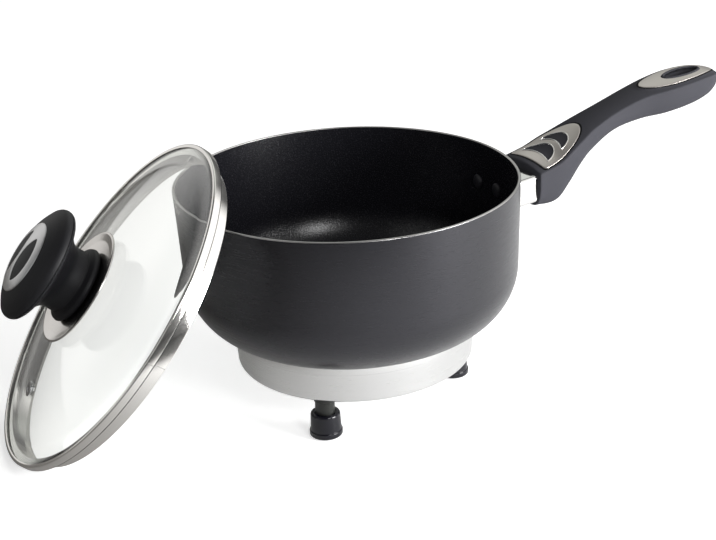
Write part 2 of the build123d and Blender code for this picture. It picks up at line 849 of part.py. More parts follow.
def make_internal_leads():
    """Insulated leads inside the cover, held by the terminals."""
    y = half_end
    loop = (element_z - lead_run_height) / 2 - 0.05
    start = terminal_x()
    tail = pin_tail_x()
    pin_y = pin_spacing / 2
    step = inlet_centre_height - lead_run_height
    line = bent_lead(
        [(start, y, element_z), (start - 5, y, element_z), (start - 5, y, lead_run_height),
         (tail - 4 - 1.2 * step, pin_y, lead_run_height), (tail - 4, pin_y, inlet_centre_height),
         (tail, pin_y, inlet_centre_height)],
        [loop, loop, 3.0, 3.0])
    low_x = limiter_x + limiter_tab_thickness / 2
    neutral = bent_lead(
        [(low_x, -y, lead_run_height), (tail - 4 - 1.2 * step, -pin_y, lead_run_height),
         (tail - 4, -pin_y, inlet_centre_height), (tail, -pin_y, inlet_centre_height)],
        [3.0, 3.0])
    into_fuse = rod(lead_radius, (start, -y, element_z), (fuse_start_x() + fuse_length, -y, element_z))
    wall_x = limiter_x + sqrt(limiter_radius ** 2 - (y - lead_radius) ** 2) + 0.05
    from_fuse = rod(lead_radius, (fuse_start_x(), -y, element_z), (wall_x, -y, element_z))
    return Compound([line, neutral, into_fuse, from_fuse])


def make_inlet_socket():
    """Moulded inlet let through the cover's side, with a saddle flange."""
    z = inlet_centre_height
    body = Pos(inlet_inner_x, 0, z) * Box(
        inlet_flange_x - inlet_inner_x, inlet_width, inlet_height, align=(Align.MIN, Align.CENTER, Align.CENTER))
    flange = Pos(inlet_flange_x, 0, z) * Box(
        8, inlet_flange_width, inlet_flange_height, align=(Align.MAX, Align.CENTER, Align.CENTER))
    upright = flange.edges().filter_by(Axis.X)
    flange = fillet(upright, 2.0)
    flange -= Cylinder(cover_radius + 0.05, 4 * inlet_centre_height)
    socket = body + flange
    mouth = SlotOverall(inlet_mouth_width, inlet_mouth_height)
    face = Plane(origin=(inlet_flange_x, 0, z), x_dir=(0, 1, 0), z_dir=(1, 0, 0))
    socket -= extrude(face * mouth, -inlet_mouth_depth)
    for side in (-1, 1):
        y = side * pin_spacing / 2
        socket -= rod(pin_shank_radius + 0.05, (inlet_inner_x - 1, y, z), (inlet_flange_x, y, z))
        w = side * inlet_screw_spacing / 2
        socket -= rod(inlet_screw_radius + bore_clearance, (inlet_inner_x, w, z), (inlet_flange_x + 1, w, z))
    return socket


def make_inlet_pins():
    """Two pins, each with a thicker shank that ends at the mouth's floor."""
    z = inlet_centre_height
    mouth_floor = inlet_flange_x - inlet_mouth_depth
    pins = []
    for side in (-1, 1):
        y = side * pin_spacing / 2
        shank = rod(pin_shank_radius, (pin_tail_x(), y, z), (mouth_floor, y, z))
        pins.append(shank + rod(pin_radius, (mouth_floor, y, z), (inlet_flange_x - pin_recess, y, z)))
    return Compound(pins)


def make_inlet_screws():
    z = inlet_centre_height
    screws = []
    for side in (-1, 1):
        y = side * inlet_screw_spacing / 2
        tip = inlet_flange_x - inlet_screw_length
        shank = rod(inlet_screw_radius, (tip, y, z), (inlet_flange_x, y, z))
        head = rod(inlet_screw_head_radius, (inlet_flange_x, y, z),
                   (inlet_flange_x + inlet_screw_head_height, y, z))
        screws.append(shank + head)
    return Compound(screws)


# Lid shapes in the lid's own frame
glass_low = lid_seat_height
glass_flange_top = glass_low + glass_thickness
glass_dome_radius = (glass_flange_radius ** 2 + glass_rise ** 2) / (2 * glass_rise)
glass_dome_centre = glass_flange_top + glass_rise - glass_dome_radius
glass_top = glass_flange_top + glass_rise


def glass_top_at(radius):
    return glass_dome_centre + sqrt(glass_dome_radius ** 2 - radius ** 2)


def glass_under_at(radius):
    return glass_dome_centre + sqrt((glass_dome_radius - glass_thickness) ** 2 - radius ** 2)


def vent_place():
    x, y = polar(vent_radius, vent_angle)
    tilt = degrees(asin(vent_radius / glass_dome_radius))
    return Pos(x, y, glass_top_at(vent_radius)) * Rot(0, 0, vent_angle) * Rot(0, tilt, 0)


def make_lid_glass():
    """Tempered glass: shallow dome with a flat flange, bored for knob and vent."""
    edge = lid_bead_radius - lid_sheet - glass_edge_clearance
    top = glass_flange_top
    low = glass_low
    bevel = glass_edge_bevel
    under = glass_dome_radius - glass_thickness
    low_radius = sqrt(under ** 2 - (low - glass_dome_centre) ** 2)
    half = glass_flange_radius / 2
    edges = [
        Line((0, 0, glass_dome_centre + under), (0, 0, glass_top)),
        ThreePointArc((0, 0, glass_top), (half, 0, glass_top_at(half)), (glass_flange_radius, 0, top)),
        Line((glass_flange_radius, 0, top), (edge - bevel, 0, top)),
        Line((edge - bevel, 0, top), (edge, 0, top - bevel)),
        Line((edge, 0, top - bevel), (edge, 0, low)),
        Line((edge, 0, low), (low_radius, 0, low)),
        ThreePointArc((low_radius, 0, low), (low_radius / 2, 0, glass_under_at(low_radius / 2)),
                      (0, 0, glass_dome_centre + under)),
    ]
    glass = spun_face(edges)
    glass -= rod(glass_bore_radius, (0, 0, 0), (0, 0, glass_top))
    glass -= vent_place() * Cylinder(vent_bore_radius, 4 * glass_thickness)
    return glass


def make_lid_rim():
    """Rolled steel band: lip over the glass, bead, seat and inner skirt."""
    r = lid_bead_radius
    t = lid_sheet
    top = glass_flange_top + t
    skirt = lid_skirt_radius
    low = -lid_skirt_depth
    band = spun([
        (lid_lip_radius, glass_flange_top), (lid_lip_radius, top), (r - lid_bead_round, top),
        (r, top - lid_bead_round), (r, lid_bead_round / 2), (r - lid_bead_round / 2, 0), (skirt, 0),
        (skirt, low + t), (skirt - t, low), (skirt - lid_skirt_curl, low), (skirt - lid_skirt_curl, low + t),
        (skirt - t, low + 2 * t), (skirt - t, glass_low), (r - t, glass_low),
        (r - t, top - lid_bead_round), (r - lid_bead_round, glass_flange_top),
    ])
    return band


def make_vent_eyelet():
    t = vent_flange_thickness
    under = -(glass_thickness + 0.25)
    eyelet = spun([
        (vent_hole_radius, under - t), (vent_tube_radius + 1.2, under - t), (vent_tube_radius + 1.2, under),
        (vent_tube_radius, under), (vent_tube_radius, 0.1), (vent_flange_radius, 0.1),
        (vent_flange_radius - 0.3, t + 0.1), (vent_hole_radius, t + 0.1),
    ])
    return vent_place() * eyelet


def make_knob_dish():
    """Shallow polished dish under the knob."""
    z = glass_top
    t = dish_sheet
    edge = z + dish_edge_lift
    hub = dish_hub_radius
    r = dish_radius
    dish = spun([
        (knob_screw_radius + 0.3, z), (hub, z), (r - 5, edge - 0.8), (r - 1, edge + 0.4), (r, edge + 0.2),
        (r, edge + 0.2 + t), (r - 1, edge + 0.6 + t), (r - 5.4, edge - 0.6 + t), (hub, z + t),
        (knob_screw_radius + 0.3, z + t),
    ])
    return dish


def make_knob_collar():
    """Heat-proof collar between the dish and the knob."""
    z = glass_top + dish_sheet
    hub = dish_hub_radius
    r = collar_radius
    return spun([
        (knob_screw_radius + 0.3, z), (hub, z), (hub + 1.5, z + 0.5), (r - 1.5, z + 1.3), (r, z + 3.0), (r - 0.8, z + 5.2),
        (collar_top_radius + 0.6, z + collar_height - 0.6), (collar_top_radius, z + collar_height),
        (knob_screw_radius + 0.3, z + collar_height),
    ])


def knob_form():
    """Mushroom knob: neck flaring to a thick round edge under a low dome."""
    z = glass_top
    low = z + dish_sheet + collar_height
    wide = z + knob_widest_height
    e = knob_edge_round
    r = knob_radius
    top = z + knob_top_height
    shoulder = r - e
    diag = e * sin(radians(45))
    edges = [
        Line((0, 0, low), (neck_radius, 0, low)),
        Line((neck_radius, 0, low), (neck_radius, 0, z + neck_height)),
        Spline((neck_radius, 0, z + neck_height), (neck_radius + 4.6, 0, z + neck_height + 6.6),
               (r - 0.6 * e, 0, wide - 0.9 * e),
               tangents=[(0, 0, 1), (1, 0, 0.35)]),
        ThreePointArc((r - 0.6 * e, 0, wide - 0.9 * e), (r, 0, wide), (shoulder + diag, 0, wide + diag)),
        Spline((shoulder + diag, 0, wide + diag), (r * 0.55, 0, top - 2.4), (0, 0, top),
               tangents=[(-1, 0, 1), (-1, 0, 0)]),
        Line((0, 0, top), (0, 0, low)),
    ]
    return spun_face(edges)


def knob_disc(outset, low):
    return Pos(0, 0, low) * extrude(Circle(knob_inlay_radius + outset), knob_top_height)


def knob_window(turn, outset, low):
    """One of the two windows of the knob's inlay, a lens beside the middle strip."""
    bow = knob_window_bow + outset
    far = Rot(0, 0, 180) * Circle(knob_window_radius + outset)
    near = Pos(knob_strip_half_width + knob_window_bow, 0) * Circle(bow)
    lens = far & near
    lens = fillet(lens.vertices(), window_corner + outset)
    return Pos(0, 0, low) * Rot(0, 0, turn) * extrude(lens, knob_top_height)


def make_knob(form):
    body = form
    low = glass_top + knob_widest_height
    body -= knob_disc(inlay_fit, low) - Pos(0, 0, -knob_inlay_sink) * form
    body -= rod(knob_screw_radius + 0.05, (0, 0, 0), (0, 0, glass_top + knob_screw_length))
    return body.solids().sort_by(SortBy.VOLUME)[-1]


def make_knob_inlay(form):
    low = glass_top + knob_widest_height
    plate = skin(form, knob_disc(0, low), knob_inlay_proud, knob_inlay_sink)
    for turn in (0, 180):
        plate -= knob_window(turn, 0, low)
    return plate.solids().sort_by(SortBy.VOLUME)[-1]


def make_knob_pads(form):
    low = glass_top + knob_widest_height
    pads = []
    for turn in (0, 180):
        pad = skin(form, knob_window(turn, -inlay_fit, low), 0, knob_inlay_sink)
        pads.append(pad.solids().sort_by(SortBy.VOLUME)[-1])
    return Compound(pads)


def make_knob_gasket():
    z = glass_top - glass_thickness
    return spun([
        (knob_screw_radius + 0.1, z - gasket_thickness - 0.05), (gasket_radius, z - gasket_thickness - 0.05),
        (gasket_radius, z - 0.15), (knob_screw_radius + 0.1, z - 0.05),
    ])


def make_knob_washer():
    z = glass_top - glass_thickness - gasket_thickness - 0.05
    return spun([
        (knob_screw_radius + 0.1, z - washer_thickness), (washer_radius - 0.5, z - washer_thickness),
        (washer_radius, z - washer_thickness + 0.5), (washer_radius, z), (knob_screw_radius + 0.1, z),
    ])


def make_knob_screw():
    """Pan-head screw from under the glass up into the knob."""
    seat = glass_top - glass_thickness - gasket_thickness - washer_thickness - 0.05
    head = spun([
        (0, seat - knob_screw_head_height), (knob_screw_head_radius - 1.5, seat - knob_screw_head_height),
        (knob_screw_head_radius, seat - knob_screw_head_height + 1.2), (knob_screw_head_radius, seat), (0, seat),
    ])
    return head + rod(knob_screw_radius, (0, 0, seat), (0, 0, glass_top + knob_screw_length - 1))


def lid_floor_height():
    """Height of the lid's centre when its low edge is on the floor."""
    rise = sin(radians(lid_lean))
    tilt = cos(radians(lid_lean))
    corners = [
        (lid_bead_radius - lid_bead_round / 2, 0),
        (lid_bead_radius, lid_bead_round / 2),
        (lid_skirt_radius, lid_sheet - lid_skirt_depth),
        (lid_skirt_radius - lid_sheet, -lid_skirt_depth),
    ]
    return max(radius * rise - height * tilt for radius, height in corners)


def rim_clearance(centre_out):
    """Least gap from the pan's rim to the glass and skirt of the leaning lid."""
    rise = sin(radians(lid_lean))
    tilt = cos(radians(lid_lean))
    centre_up = lid_floor_height()
    rim = pan_rim_radius - pan_rim_round
    up = pan_rim_height - pan_rim_round - centre_up
    inside = glass_dome_radius - glass_thickness
    least = rim
    for half_degree in range(181):
        angle = radians(half_degree / 2)
        out = rim * cos(angle) - centre_out
        along = up * rise - out * tilt
        height = out * rise + up * tilt
        radius = hypot(along, rim * sin(angle))
        glass_gap = inside - hypot(radius, height - glass_dome_centre)
        beside = max(lid_skirt_radius - lid_skirt_curl - radius, 0, radius - lid_skirt_radius)
        beyond = max(-lid_skirt_depth - height, 0, height)
        least = min(least, glass_gap, hypot(beside, beyond))
    return least - pan_rim_round


def lid_rest():
    """Where the lid leans: low edge on the floor, skirt and glass clear of the rim."""
    near = pan_rim_radius
    far = pan_rim_radius + lid_bead_radius
    while far - near > 0.001:
        middle = (near + far) / 2
        if rim_clearance(middle) < lid_rest_gap:
            near = middle
        else:
            far = middle
    x, y = polar(far, lid_side_angle)
    return Pos(x, y, lid_floor_height()) * Rot(0, 0, lid_side_angle) * Rot(0, lid_lean, 0) * Rot(0, 0, 90)


def lid_axis():
    """Direction from the glass towards the knob as the lid leans."""
    x, y = polar(sin(radians(lid_lean)), lid_side_angle)
    return x, y, cos(radians(lid_lean))


def build():
    grip_solid = grip_form()
    knob_solid = knob_form()
    nodes = {
        "pan_body": make_pan_body(),
        "handle_rivets": make_handle_rivets(),
        "handle_bracket": make_handle_bracket(),
        "flame_guard": make_flame_guard(),
        "handle_grip": make_grip(grip_solid),
        "grip_screw": make_grip_screw(),
        "front_inlay": make_front_inlay(grip_solid),
        "front_pads": make_front_pads(grip_solid),
        "end_inlay": make_end_inlay(grip_solid),
        "heater_cover": make_heater_cover(),
        "foot_pegs": make_foot_pegs(),
        "foot_caps": make_foot_caps(),
        "foot_screws": make_foot_screws(),
        "spreader_plate": make_spreader_plate(),
        "heating_element": make_heating_element(),
        "element_terminals": make_element_terminals(),
        "clamp_ring": make_clamp_ring(),
        "clamp_studs": make_clamp_studs(),
        "clamp_nuts": make_clamp_nuts(),
        "cover_stud": make_cover_stud(),
        "cover_nut": make_cover_nut(),
        "insulation_felt": make_insulation_felt(),
        "heat_limiter": make_heat_limiter(),
        "limiter_strap": make_limiter_strap(),
        "strap_screws": make_strap_screws(),
        "thermal_fuse": make_thermal_fuse(),
        "internal_leads": make_internal_leads(),
        "inlet_socket": make_inlet_socket(),
        "inlet_pins": make_inlet_pins(),
        "inlet_screws": make_inlet_screws(),
    }
    lid_nodes = {
        "lid_glass": make_lid_glass(),
        "lid_rim": make_lid_rim(),
        "vent_eyelet": make_vent_eyelet(),
        "knob_dish": make_knob_dish(),
        "knob_collar": make_knob_collar(),
        "knob": make_knob(knob_solid),
        "knob_inlay": make_knob_inlay(knob_solid),
        "knob_pads": make_knob_pads(knob_solid),
        "knob_gasket": make_knob_gasket(),
        "knob_washer": make_knob_washer(),
        "knob_screw": make_knob_screw(),
    }
    rest = lid_rest()
    for name, shape in lid_nodes.items():
        nodes[name] = rest * shape
    return nodes


def footprint_centre(nodes):
    """Middle of the whole model's box, seen from above."""
    boxes = [shape.bounding_box() for shape in nodes.values()]
    low_x = min(box.min.X for box in boxes)
    high_x = max(box.max.X for box in boxes)
    low_y = min(box.min.Y for box in boxes)
    high_y = max(box.max.Y for box in boxes)
    return round((low_x + high_x) / 2, 1), round((low_y + high_y) / 2, 1)


def main():
    nodes = build()
    centre_x, centre_y = footprint_centre(nodes)
    print("pan axis at", -centre_x, -centre_y)
    os.makedirs("parts", exist_ok=True)
    for name, shape in nodes.items():
        export_step(Pos(-centre_x, -centre_y, 0) * shape, f"parts/{name}.step")
    return nodes


main()
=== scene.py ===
import math
import json
import bmesh
import bpy
from mathutils import Matrix, Vector


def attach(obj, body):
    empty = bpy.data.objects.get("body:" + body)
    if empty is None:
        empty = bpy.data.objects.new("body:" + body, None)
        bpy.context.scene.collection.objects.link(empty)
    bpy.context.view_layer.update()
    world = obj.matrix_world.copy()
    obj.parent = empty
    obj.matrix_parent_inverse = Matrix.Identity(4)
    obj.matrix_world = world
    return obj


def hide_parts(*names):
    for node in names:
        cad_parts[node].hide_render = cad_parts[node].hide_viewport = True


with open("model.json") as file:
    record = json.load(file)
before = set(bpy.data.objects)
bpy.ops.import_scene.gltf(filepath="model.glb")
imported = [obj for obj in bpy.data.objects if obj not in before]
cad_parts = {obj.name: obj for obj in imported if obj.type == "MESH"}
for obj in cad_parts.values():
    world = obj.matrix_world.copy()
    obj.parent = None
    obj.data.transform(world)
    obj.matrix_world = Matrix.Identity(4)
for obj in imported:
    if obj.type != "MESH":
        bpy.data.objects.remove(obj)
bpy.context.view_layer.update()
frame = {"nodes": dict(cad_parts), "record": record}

mm = 0.001
panAxis = (-32.9, -16.1)  # where the pan's axis meets the floor
sharpAngle = 32  # edges that turn by more than this look sharp

# Small tools


def atPan(x, y, z):
    return Vector(((x + panAxis[0]) * mm, (y + panAxis[1]) * mm, z * mm))


panPlace = Matrix.Translation(atPan(0, 0, 0))


def polar(radius, degrees):
    angle = math.radians(degrees)
    return radius * math.cos(angle), radius * math.sin(angle)


def addObject(name, data, place):
    piece = bpy.data.objects.new(name, data)
    bpy.context.scene.collection.objects.link(piece)
    piece.matrix_world = place
    return piece


def joinRings(work, a, b):
    for k in range(len(a)):
        n = (k + 1) % len(a)
        work.faces.new((a[k], a[n], b[n], b[k]))


def meshFrom(name, work):
    bmesh.ops.recalc_face_normals(work, faces=work.faces)
    mesh = bpy.data.meshes.new(name)
    work.to_mesh(mesh)
    work.free()
    return mesh


def finishMesh(name, mesh, finishes, place, pick=None, sharp=sharpAngle):
    for finish in finishes:
        mesh.materials.append(made[finish])
    if pick:
        for face in mesh.polygons:
            face.material_index = pick(face.center / mm, face.normal)
    mesh.polygons.foreach_set("use_smooth", [True] * len(mesh.polygons))
    mesh.set_sharp_from_angle(angle=math.radians(sharp))
    return addObject(name, mesh, place)


lineStyle = {"cornerShare": 0.49, "quarter": 1.6, "onAxis": 0.001}
cornerSteps = 8
arcSteps = 32


def quarterArc(radius, first):
    # points of a rounded corner, from its first direction on
    return [polar(radius, first + 90 * k / cornerSteps) for k in range(cornerSteps + 1)]


def roundedLine(corners, steps):
    # corners are (radius, height, rounding), steps are for a quarter turn; the ends aren't rounded
    out = []
    last = len(corners) - 1
    for i, (r, z, turn) in enumerate(corners):
        here = Vector((r, z))
        if i in (0, last) or not turn:
            out.append(here)
            continue
        before = Vector(corners[i - 1][:2]) - here
        after = Vector(corners[i + 1][:2]) - here
        half = before.angle(after) / 2
        share = lineStyle["cornerShare"]
        reach = min(turn / math.tan(half), share * before.length, share * after.length)
        turn = reach * math.tan(half)
        centre = here + (before.normalized() + after.normalized()).normalized() * turn / math.sin(half)
        start = here + before.normalized() * reach - centre
        end = here + after.normalized() * reach - centre
        sweep = start.angle_signed(end)
        count = max(2, round(steps * abs(sweep) / lineStyle["quarter"]))
        for k in range(count + 1):
            angle = -sweep * k / count
            out.append(centre + Matrix.Rotation(angle, 2) @ start)
    return [(p.x, p.y) for p in out]


def smoothLine(points, steps):
    # a line through every point, after Catmull and Rom
    held = [points[0]] + list(points) + [points[-1]]
    out = []
    for i in range(1, len(held) - 2):
        a, b, c, d = [Vector(p) for p in held[i - 1:i + 3]]
        for k in range(steps):
            t = k / steps
            out.append(0.5 * ((2 * b) + (c - a) * t + (2 * a - 5 * b + 4 * c - d) * t ** 2
                              + (3 * b - a - 3 * c + d) * t ** 3))
    out.append(Vector(points[-1]))
    return [tuple(p) for p in out]


def lathe(name, line, finishes, place, pick=None, segments=192, closed=False):
    # line is (radius, height); a radius of nothing is a single point on the axis
    work = bmesh.new()
    rings = []
    for r, z in line:
        if r < lineStyle["onAxis"]:
            rings.append([work.verts.new((0, 0, z * mm))])
            continue
        spots = [polar(r, 360 * k / segments) for k in range(segments)]
        rings.append([work.verts.new((x * mm, y * mm, z * mm)) for x, y in spots])
    if closed:
        rings.append(rings[0])
    for low, high in zip(rings, rings[1:]):
        if len(low) == len(high):
            joinRings(work, low, high)
            continue
        for k in range(segments):
            n = (k + 1) % segments
            if len(high) > 1:
                work.faces.new((low[0], high[n], high[k]))
            else:
                work.faces.new((low[k], low[n], high[0]))
    return finishMesh(name, meshFrom(name, work), finishes, place, pick)


def cutAway(piece, cutters):
    for cutter in cutters:
        step = piece.modifiers.new("cut", "BOOLEAN")
        step.operation = "DIFFERENCE"
        step.solver = "EXACT"
        step.object = cutter
    bpy.context.view_layer.update()
    shaped = piece.evaluated_get(bpy.context.evaluated_depsgraph_get())
    mesh = bpy.data.meshes.new_from_object(shaped)
    piece.modifiers.clear()
    old = piece.data
    piece.data = mesh
    bpy.data.meshes.remove(old)
    for cutter in cutters:
        bpy.data.objects.remove(cutter)
    mesh.set_sharp_from_angle(angle=math.radians(sharpAngle))


def prismCutter(outline, low, high, place):
    # outline is (x, y) in millimetres
    work = bmesh.new()
    bottom = [work.verts.new((x * mm, y * mm, low * mm)) for x, y in outline]
    top = [work.verts.new((x * mm, y * mm, high * mm)) for x, y in outline]
    work.faces.new(bottom)
    work.faces.new(top)
    joinRings(work, bottom, top)
    return addObject("cutter", meshFrom("cutter", work), place)


def ellipseOutline(x, halfLength, half, count=96):
    out = []
    for k in range(count):
        c, s = polar(1, 360 * k / count)
        out.append((x + halfLength * c, half * s))
    return out


def addPiece(piece, body, slotName, *nodes):
    if body == "lid":
        # the lean goes into the mesh, so that the piece's box is as tight as the solid's
        piece.data.transform(piece.matrix_world)
        piece.matrix_world = Matrix.Identity(4)
    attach(piece, body)
    if nodes:
        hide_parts(*nodes)
    return piece


# Materials


def feed(tree, node, inputs):
    # each input gets a value, or the output of another node
    for key, value in inputs.items():
        if isinstance(value, bpy.types.NodeSocket):
            tree.links.new(value, node.inputs[key])
        else:
            node.inputs[key].default_value = value
    return node


def addNode(tree, kind, inputs):
    return feed(tree, tree.nodes.new("ShaderNode" + kind), inputs).outputs


def maths(tree, operation, first, second):
    node = tree.nodes.new("ShaderNodeMath")
    node.operation = operation
    return feed(tree, node, {0: first, 1: second}).outputs[0]


def vectorMaths(tree, operation, inputs):
    node = tree.nodes.new("ShaderNodeVectorMath")
    node.operation = operation
    return feed(tree, node, inputs).outputs


def ramp(tree, value, limits, results, smooth=False):
    node = tree.nodes.new("ShaderNodeMapRange")
    if smooth:
        node.interpolation_type = "SMOOTHSTEP"
    feed(tree, node, {"Value": value, "From Min": limits[0], "From Max": limits[1],
                      "To Min": results[0], "To Max": results[1]})
    return node.outputs[0]


def blend(tree, share, first, second):
    node = tree.nodes.new("ShaderNodeMix")
    node.data_type = "RGBA"
    return feed(tree, node, {0: share, 6: first, 7: second}).outputs[2]


def roundAxis(tree, spot, slow):
    # angle, radius and height about the upright axis, the angle slowed so that the grain runs round
    x, y, z = addNode(tree, "SeparateXYZ", {0: spot})
    flat = addNode(tree, "CombineXYZ", {"X": x, "Y": y})[0]
    radius = vectorMaths(tree, "LENGTH", {0: flat})["Value"]
    angle = maths(tree, "MULTIPLY", maths(tree, "ARCTAN2", y, x), slow)
    return addNode(tree, "CombineXYZ", {"X": angle, "Y": radius, "Z": z})[0]


grainStyle = {"patchScale": 18, "patchDetail": 3, "detail": 5, "limits": (0.3, 0.7), "bumpDepth": 0.00005}


def makeMaterial(name, look):
    # look: base and second colours, roughness range, sizes of the colour patches and of the grain in 1/m
    material = bpy.data.materials.new(name)
    material.use_nodes = True
    tree = material.node_tree
    bsdf = tree.nodes["Principled BSDF"]
    spot = addNode(tree, "TexCoord", {})["Object"]
    patch = addNode(tree, "TexNoise", {"Vector": spot, "Detail": grainStyle["patchDetail"],
                                       "Scale": look.get("patchScale", grainStyle["patchScale"])})["Fac"]
    shade = blend(tree, patch, (*look["base"], 1), (*look["second"], 1))
    if "specks" in look:
        away = addNode(tree, "TexVoronoi", {"Vector": spot, "Scale": look["specks"]["scale"]})["Distance"]
        dot = maths(tree, "LESS_THAN", away, look["specks"]["size"])
        shade = blend(tree, dot, shade, (*look["specks"]["colour"], 1))
    if "turned" in look:
        spot = roundAxis(tree, spot, look["turned"])
    grain = addNode(tree, "TexNoise", {"Vector": spot, "Scale": look["grainScale"],
                                       "Detail": grainStyle["detail"]})["Fac"]
    bump = addNode(tree, "Bump", {"Height": grain, "Strength": look["bump"],
                                  "Distance": look.get("bumpDepth", grainStyle["bumpDepth"])})[0]
    rough = ramp(tree, grain, grainStyle["limits"], look["rough"])
    feed(tree, bsdf, {
        "Base Color": shade, "Roughness": rough, "Normal": bump, "Metallic": look.get("metallic", 0),
        "IOR": look.get("ior", 1.45),
        "Specular IOR Level": look.get("specular", 0.5), "Specular Tint": (*look.get("tint", (1, 1, 1)), 1),
        "Sheen Weight": look.get("sheen", 0), "Transmission Weight": look.get("transmission", 0)})
    if "anisotropic" in look:
        tangent = tree.nodes.new("ShaderNodeTangent")
        tangent.direction_type = "RADIAL"
        tangent.axis = "Z"
        feed(tree, bsdf, {"Anisotropic": look["anisotropic"], "Tangent": tangent.outputs[0]})
    return material


looks = {
    "enamel": {"base": (0.004, 0.004, 0.005), "second": (0.0055, 0.0055, 0.0068), "rough": (0.25, 0.36),
               "turned": 0.004, "grainScale": 2400, "bump": 0.02, "specular": 0.68,
               "tint": (0.92, 0.915, 1.0)},
    "nonStick": {"base": (0.0050, 0.0050, 0.0068), "second": (0.0072, 0.0072, 0.0094), "rough": (0.20, 0.30),
                 "grainScale": 1300, "bump": 0.8, "bumpDepth": 0.00014,
                 "specks": {"scale": 700, "size": 0.20, "colour": (0.022, 0.022, 0.026)}},
    "rivetCoat": {"base": (0.020, 0.020, 0.024), "second": (0.026, 0.026, 0.030), "rough": (0.26, 0.34),
                  "grainScale": 1500, "bump": 0.1},
    "bareRim": {"base": (0.50, 0.49, 0.48), "second": (0.44, 0.43, 0.43), "rough": (0.26, 0.36),
                "metallic": 1, "turned": 0.01, "grainScale": 900, "bump": 0.01},
    "coverSatin": {"base": (0.69, 0.69, 0.685), "second": (0.65, 0.65, 0.645), "rough": (0.22, 0.28),
                   "metallic": 1, "turned": 0.002, "grainScale": 2400, "bump": 0.012, "anisotropic": 0.8},
    "polished": {"base": (0.72, 0.715, 0.70), "second": (0.68, 0.675, 0.66), "rough": (0.08, 0.12),
                 "metallic": 1, "grainScale": 700, "bump": 0.02},
    "bandSteel": {"base": (0.81, 0.795, 0.77), "second": (0.77, 0.755, 0.73), "rough": (0.10, 0.15),
                  "metallic": 1, "grainScale": 700, "bump": 0.02},
    "dishSatin": {"base": (0.70, 0.68, 0.655), "second": (0.66, 0.64, 0.62), "rough": (0.17, 0.23),
                  "metallic": 1, "grainScale": 1400, "bump": 0.01},
    # painted shade: a near black, dull finish that stands in for shade at the band's step and groove, and
    # round the grip's plates
    "paintedSeamShade": {"base": (0.006, 0.006, 0.006), "second": (0.010, 0.010, 0.010), "rough": (0.6, 0.7),
                  "grainScale": 900, "bump": 0.05, "specular": 0.05},
    "satinSteel": {"base": (0.58, 0.58, 0.58), "second": (0.50, 0.50, 0.51), "rough": (0.26, 0.38),
                   "metallic": 1, "grainScale": 1600, "bump": 0.1},
    "grip": {"base": (0.046, 0.046, 0.053), "second": (0.055, 0.055, 0.063), "rough": (0.50, 0.60),
             "grainScale": 3600, "bump": 0.22, "specular": 0.02},
    "inlaySatin": {"base": (0.58, 0.54, 0.51), "second": (0.53, 0.495, 0.47), "rough": (0.34, 0.42),
                   "metallic": 1, "grainScale": 4200, "bump": 0.16, "bumpDepth": 0.00003},
    "inlaySilver": {"base": (0.70, 0.70, 0.70), "second": (0.62, 0.62, 0.63), "rough": (0.28, 0.36),
                    "metallic": 1, "grainScale": 4200, "bump": 0.16, "bumpDepth": 0.00003},
    "brightEdge": {"base": (0.92, 0.91, 0.89), "second": (0.88, 0.87, 0.85), "rough": (0.08, 0.14),
                   "metallic": 1, "grainScale": 1200, "bump": 0.02},
    "softPad": {"base": (0.008, 0.009, 0.015), "second": (0.012, 0.013, 0.020), "rough": (0.30, 0.38),
                "grainScale": 2600, "bump": 0.12, "specular": 0.1},
    "footCap": {"base": (0.0025, 0.0025, 0.005), "second": (0.004, 0.004, 0.008), "rough": (0.14, 0.20),
                "grainScale": 1500, "bump": 0.06},
    "footPeg": {"base": (0.011, 0.012, 0.011), "second": (0.018, 0.019, 0.017), "rough": (0.36, 0.46),
                "grainScale": 1800, "bump": 0.15},
    "lidGlass": {"base": (0.955, 0.97, 0.955), "second": (0.95, 0.965, 0.95), "rough": (0.0, 0.0),
                 "grainScale": 30, "bump": 0.0, "transmission": 1, "ior": 1.5},
    "knobBlack": {"base": (0.009, 0.009, 0.011), "second": (0.013, 0.013, 0.015), "rough": (0.46, 0.56),
                  "grainScale": 3400, "bump": 0.25, "specular": 0.3},
    "plainAluminium": {"base": (0.66, 0.66, 0.67), "second": (0.60, 0.60, 0.61), "rough": (0.30, 0.42),
                       "metallic": 1, "grainScale": 1500, "bump": 0.15},
    "sheath": {"base": (0.30, 0.27, 0.24), "second": (0.20, 0.19, 0.21), "rough": (0.34, 0.48),
               "metallic": 1, "patchScale": 60, "grainScale": 1500, "bump": 0.2},
    "paleSeal": {"base": (0.72, 0.70, 0.64), "second": (0.64, 0.62, 0.58), "rough": (0.5, 0.6),
                 "grainScale": 2600, "bump": 0.3},
    "heatFelt": {"base": (0.74, 0.72, 0.66), "second": (0.62, 0.60, 0.54), "rough": (0.9, 1.0),
                 "patchScale": 240, "grainScale": 3000, "bump": 0.9, "bumpDepth": 0.0004, "sheen": 0.3},
    "fuseBrass": {"base": (0.70, 0.56, 0.30), "second": (0.62, 0.49, 0.27), "rough": (0.26, 0.36),
                  "metallic": 1, "grainScale": 1500, "bump": 0.08},
    "siliconeSleeve": {"base": (0.60, 0.58, 0.54), "second": (0.54, 0.52, 0.48), "rough": (0.5, 0.62),
                       "grainScale": 2400, "bump": 0.25},
    "inletBlack": {"base": (0.018, 0.018, 0.019), "second": (0.024, 0.024, 0.026), "rough": (0.38, 0.5),
                   "grainScale": 3000, "bump": 0.25},
    "gasket": {"base": (0.46, 0.45, 0.43), "second": (0.40, 0.39, 0.38), "rough": (0.55, 0.66),
               "grainScale": 2400, "bump": 0.25},
    "floorPaper": {"base": (0.90, 0.90, 0.90), "second": (0.89, 0.89, 0.895), "rough": (0.55, 0.65),
                   "grainScale": 900, "bump": 0.0, "specular": 0.2},
}
made = {name: makeMaterial(name, look) for name, look in looks.items()}
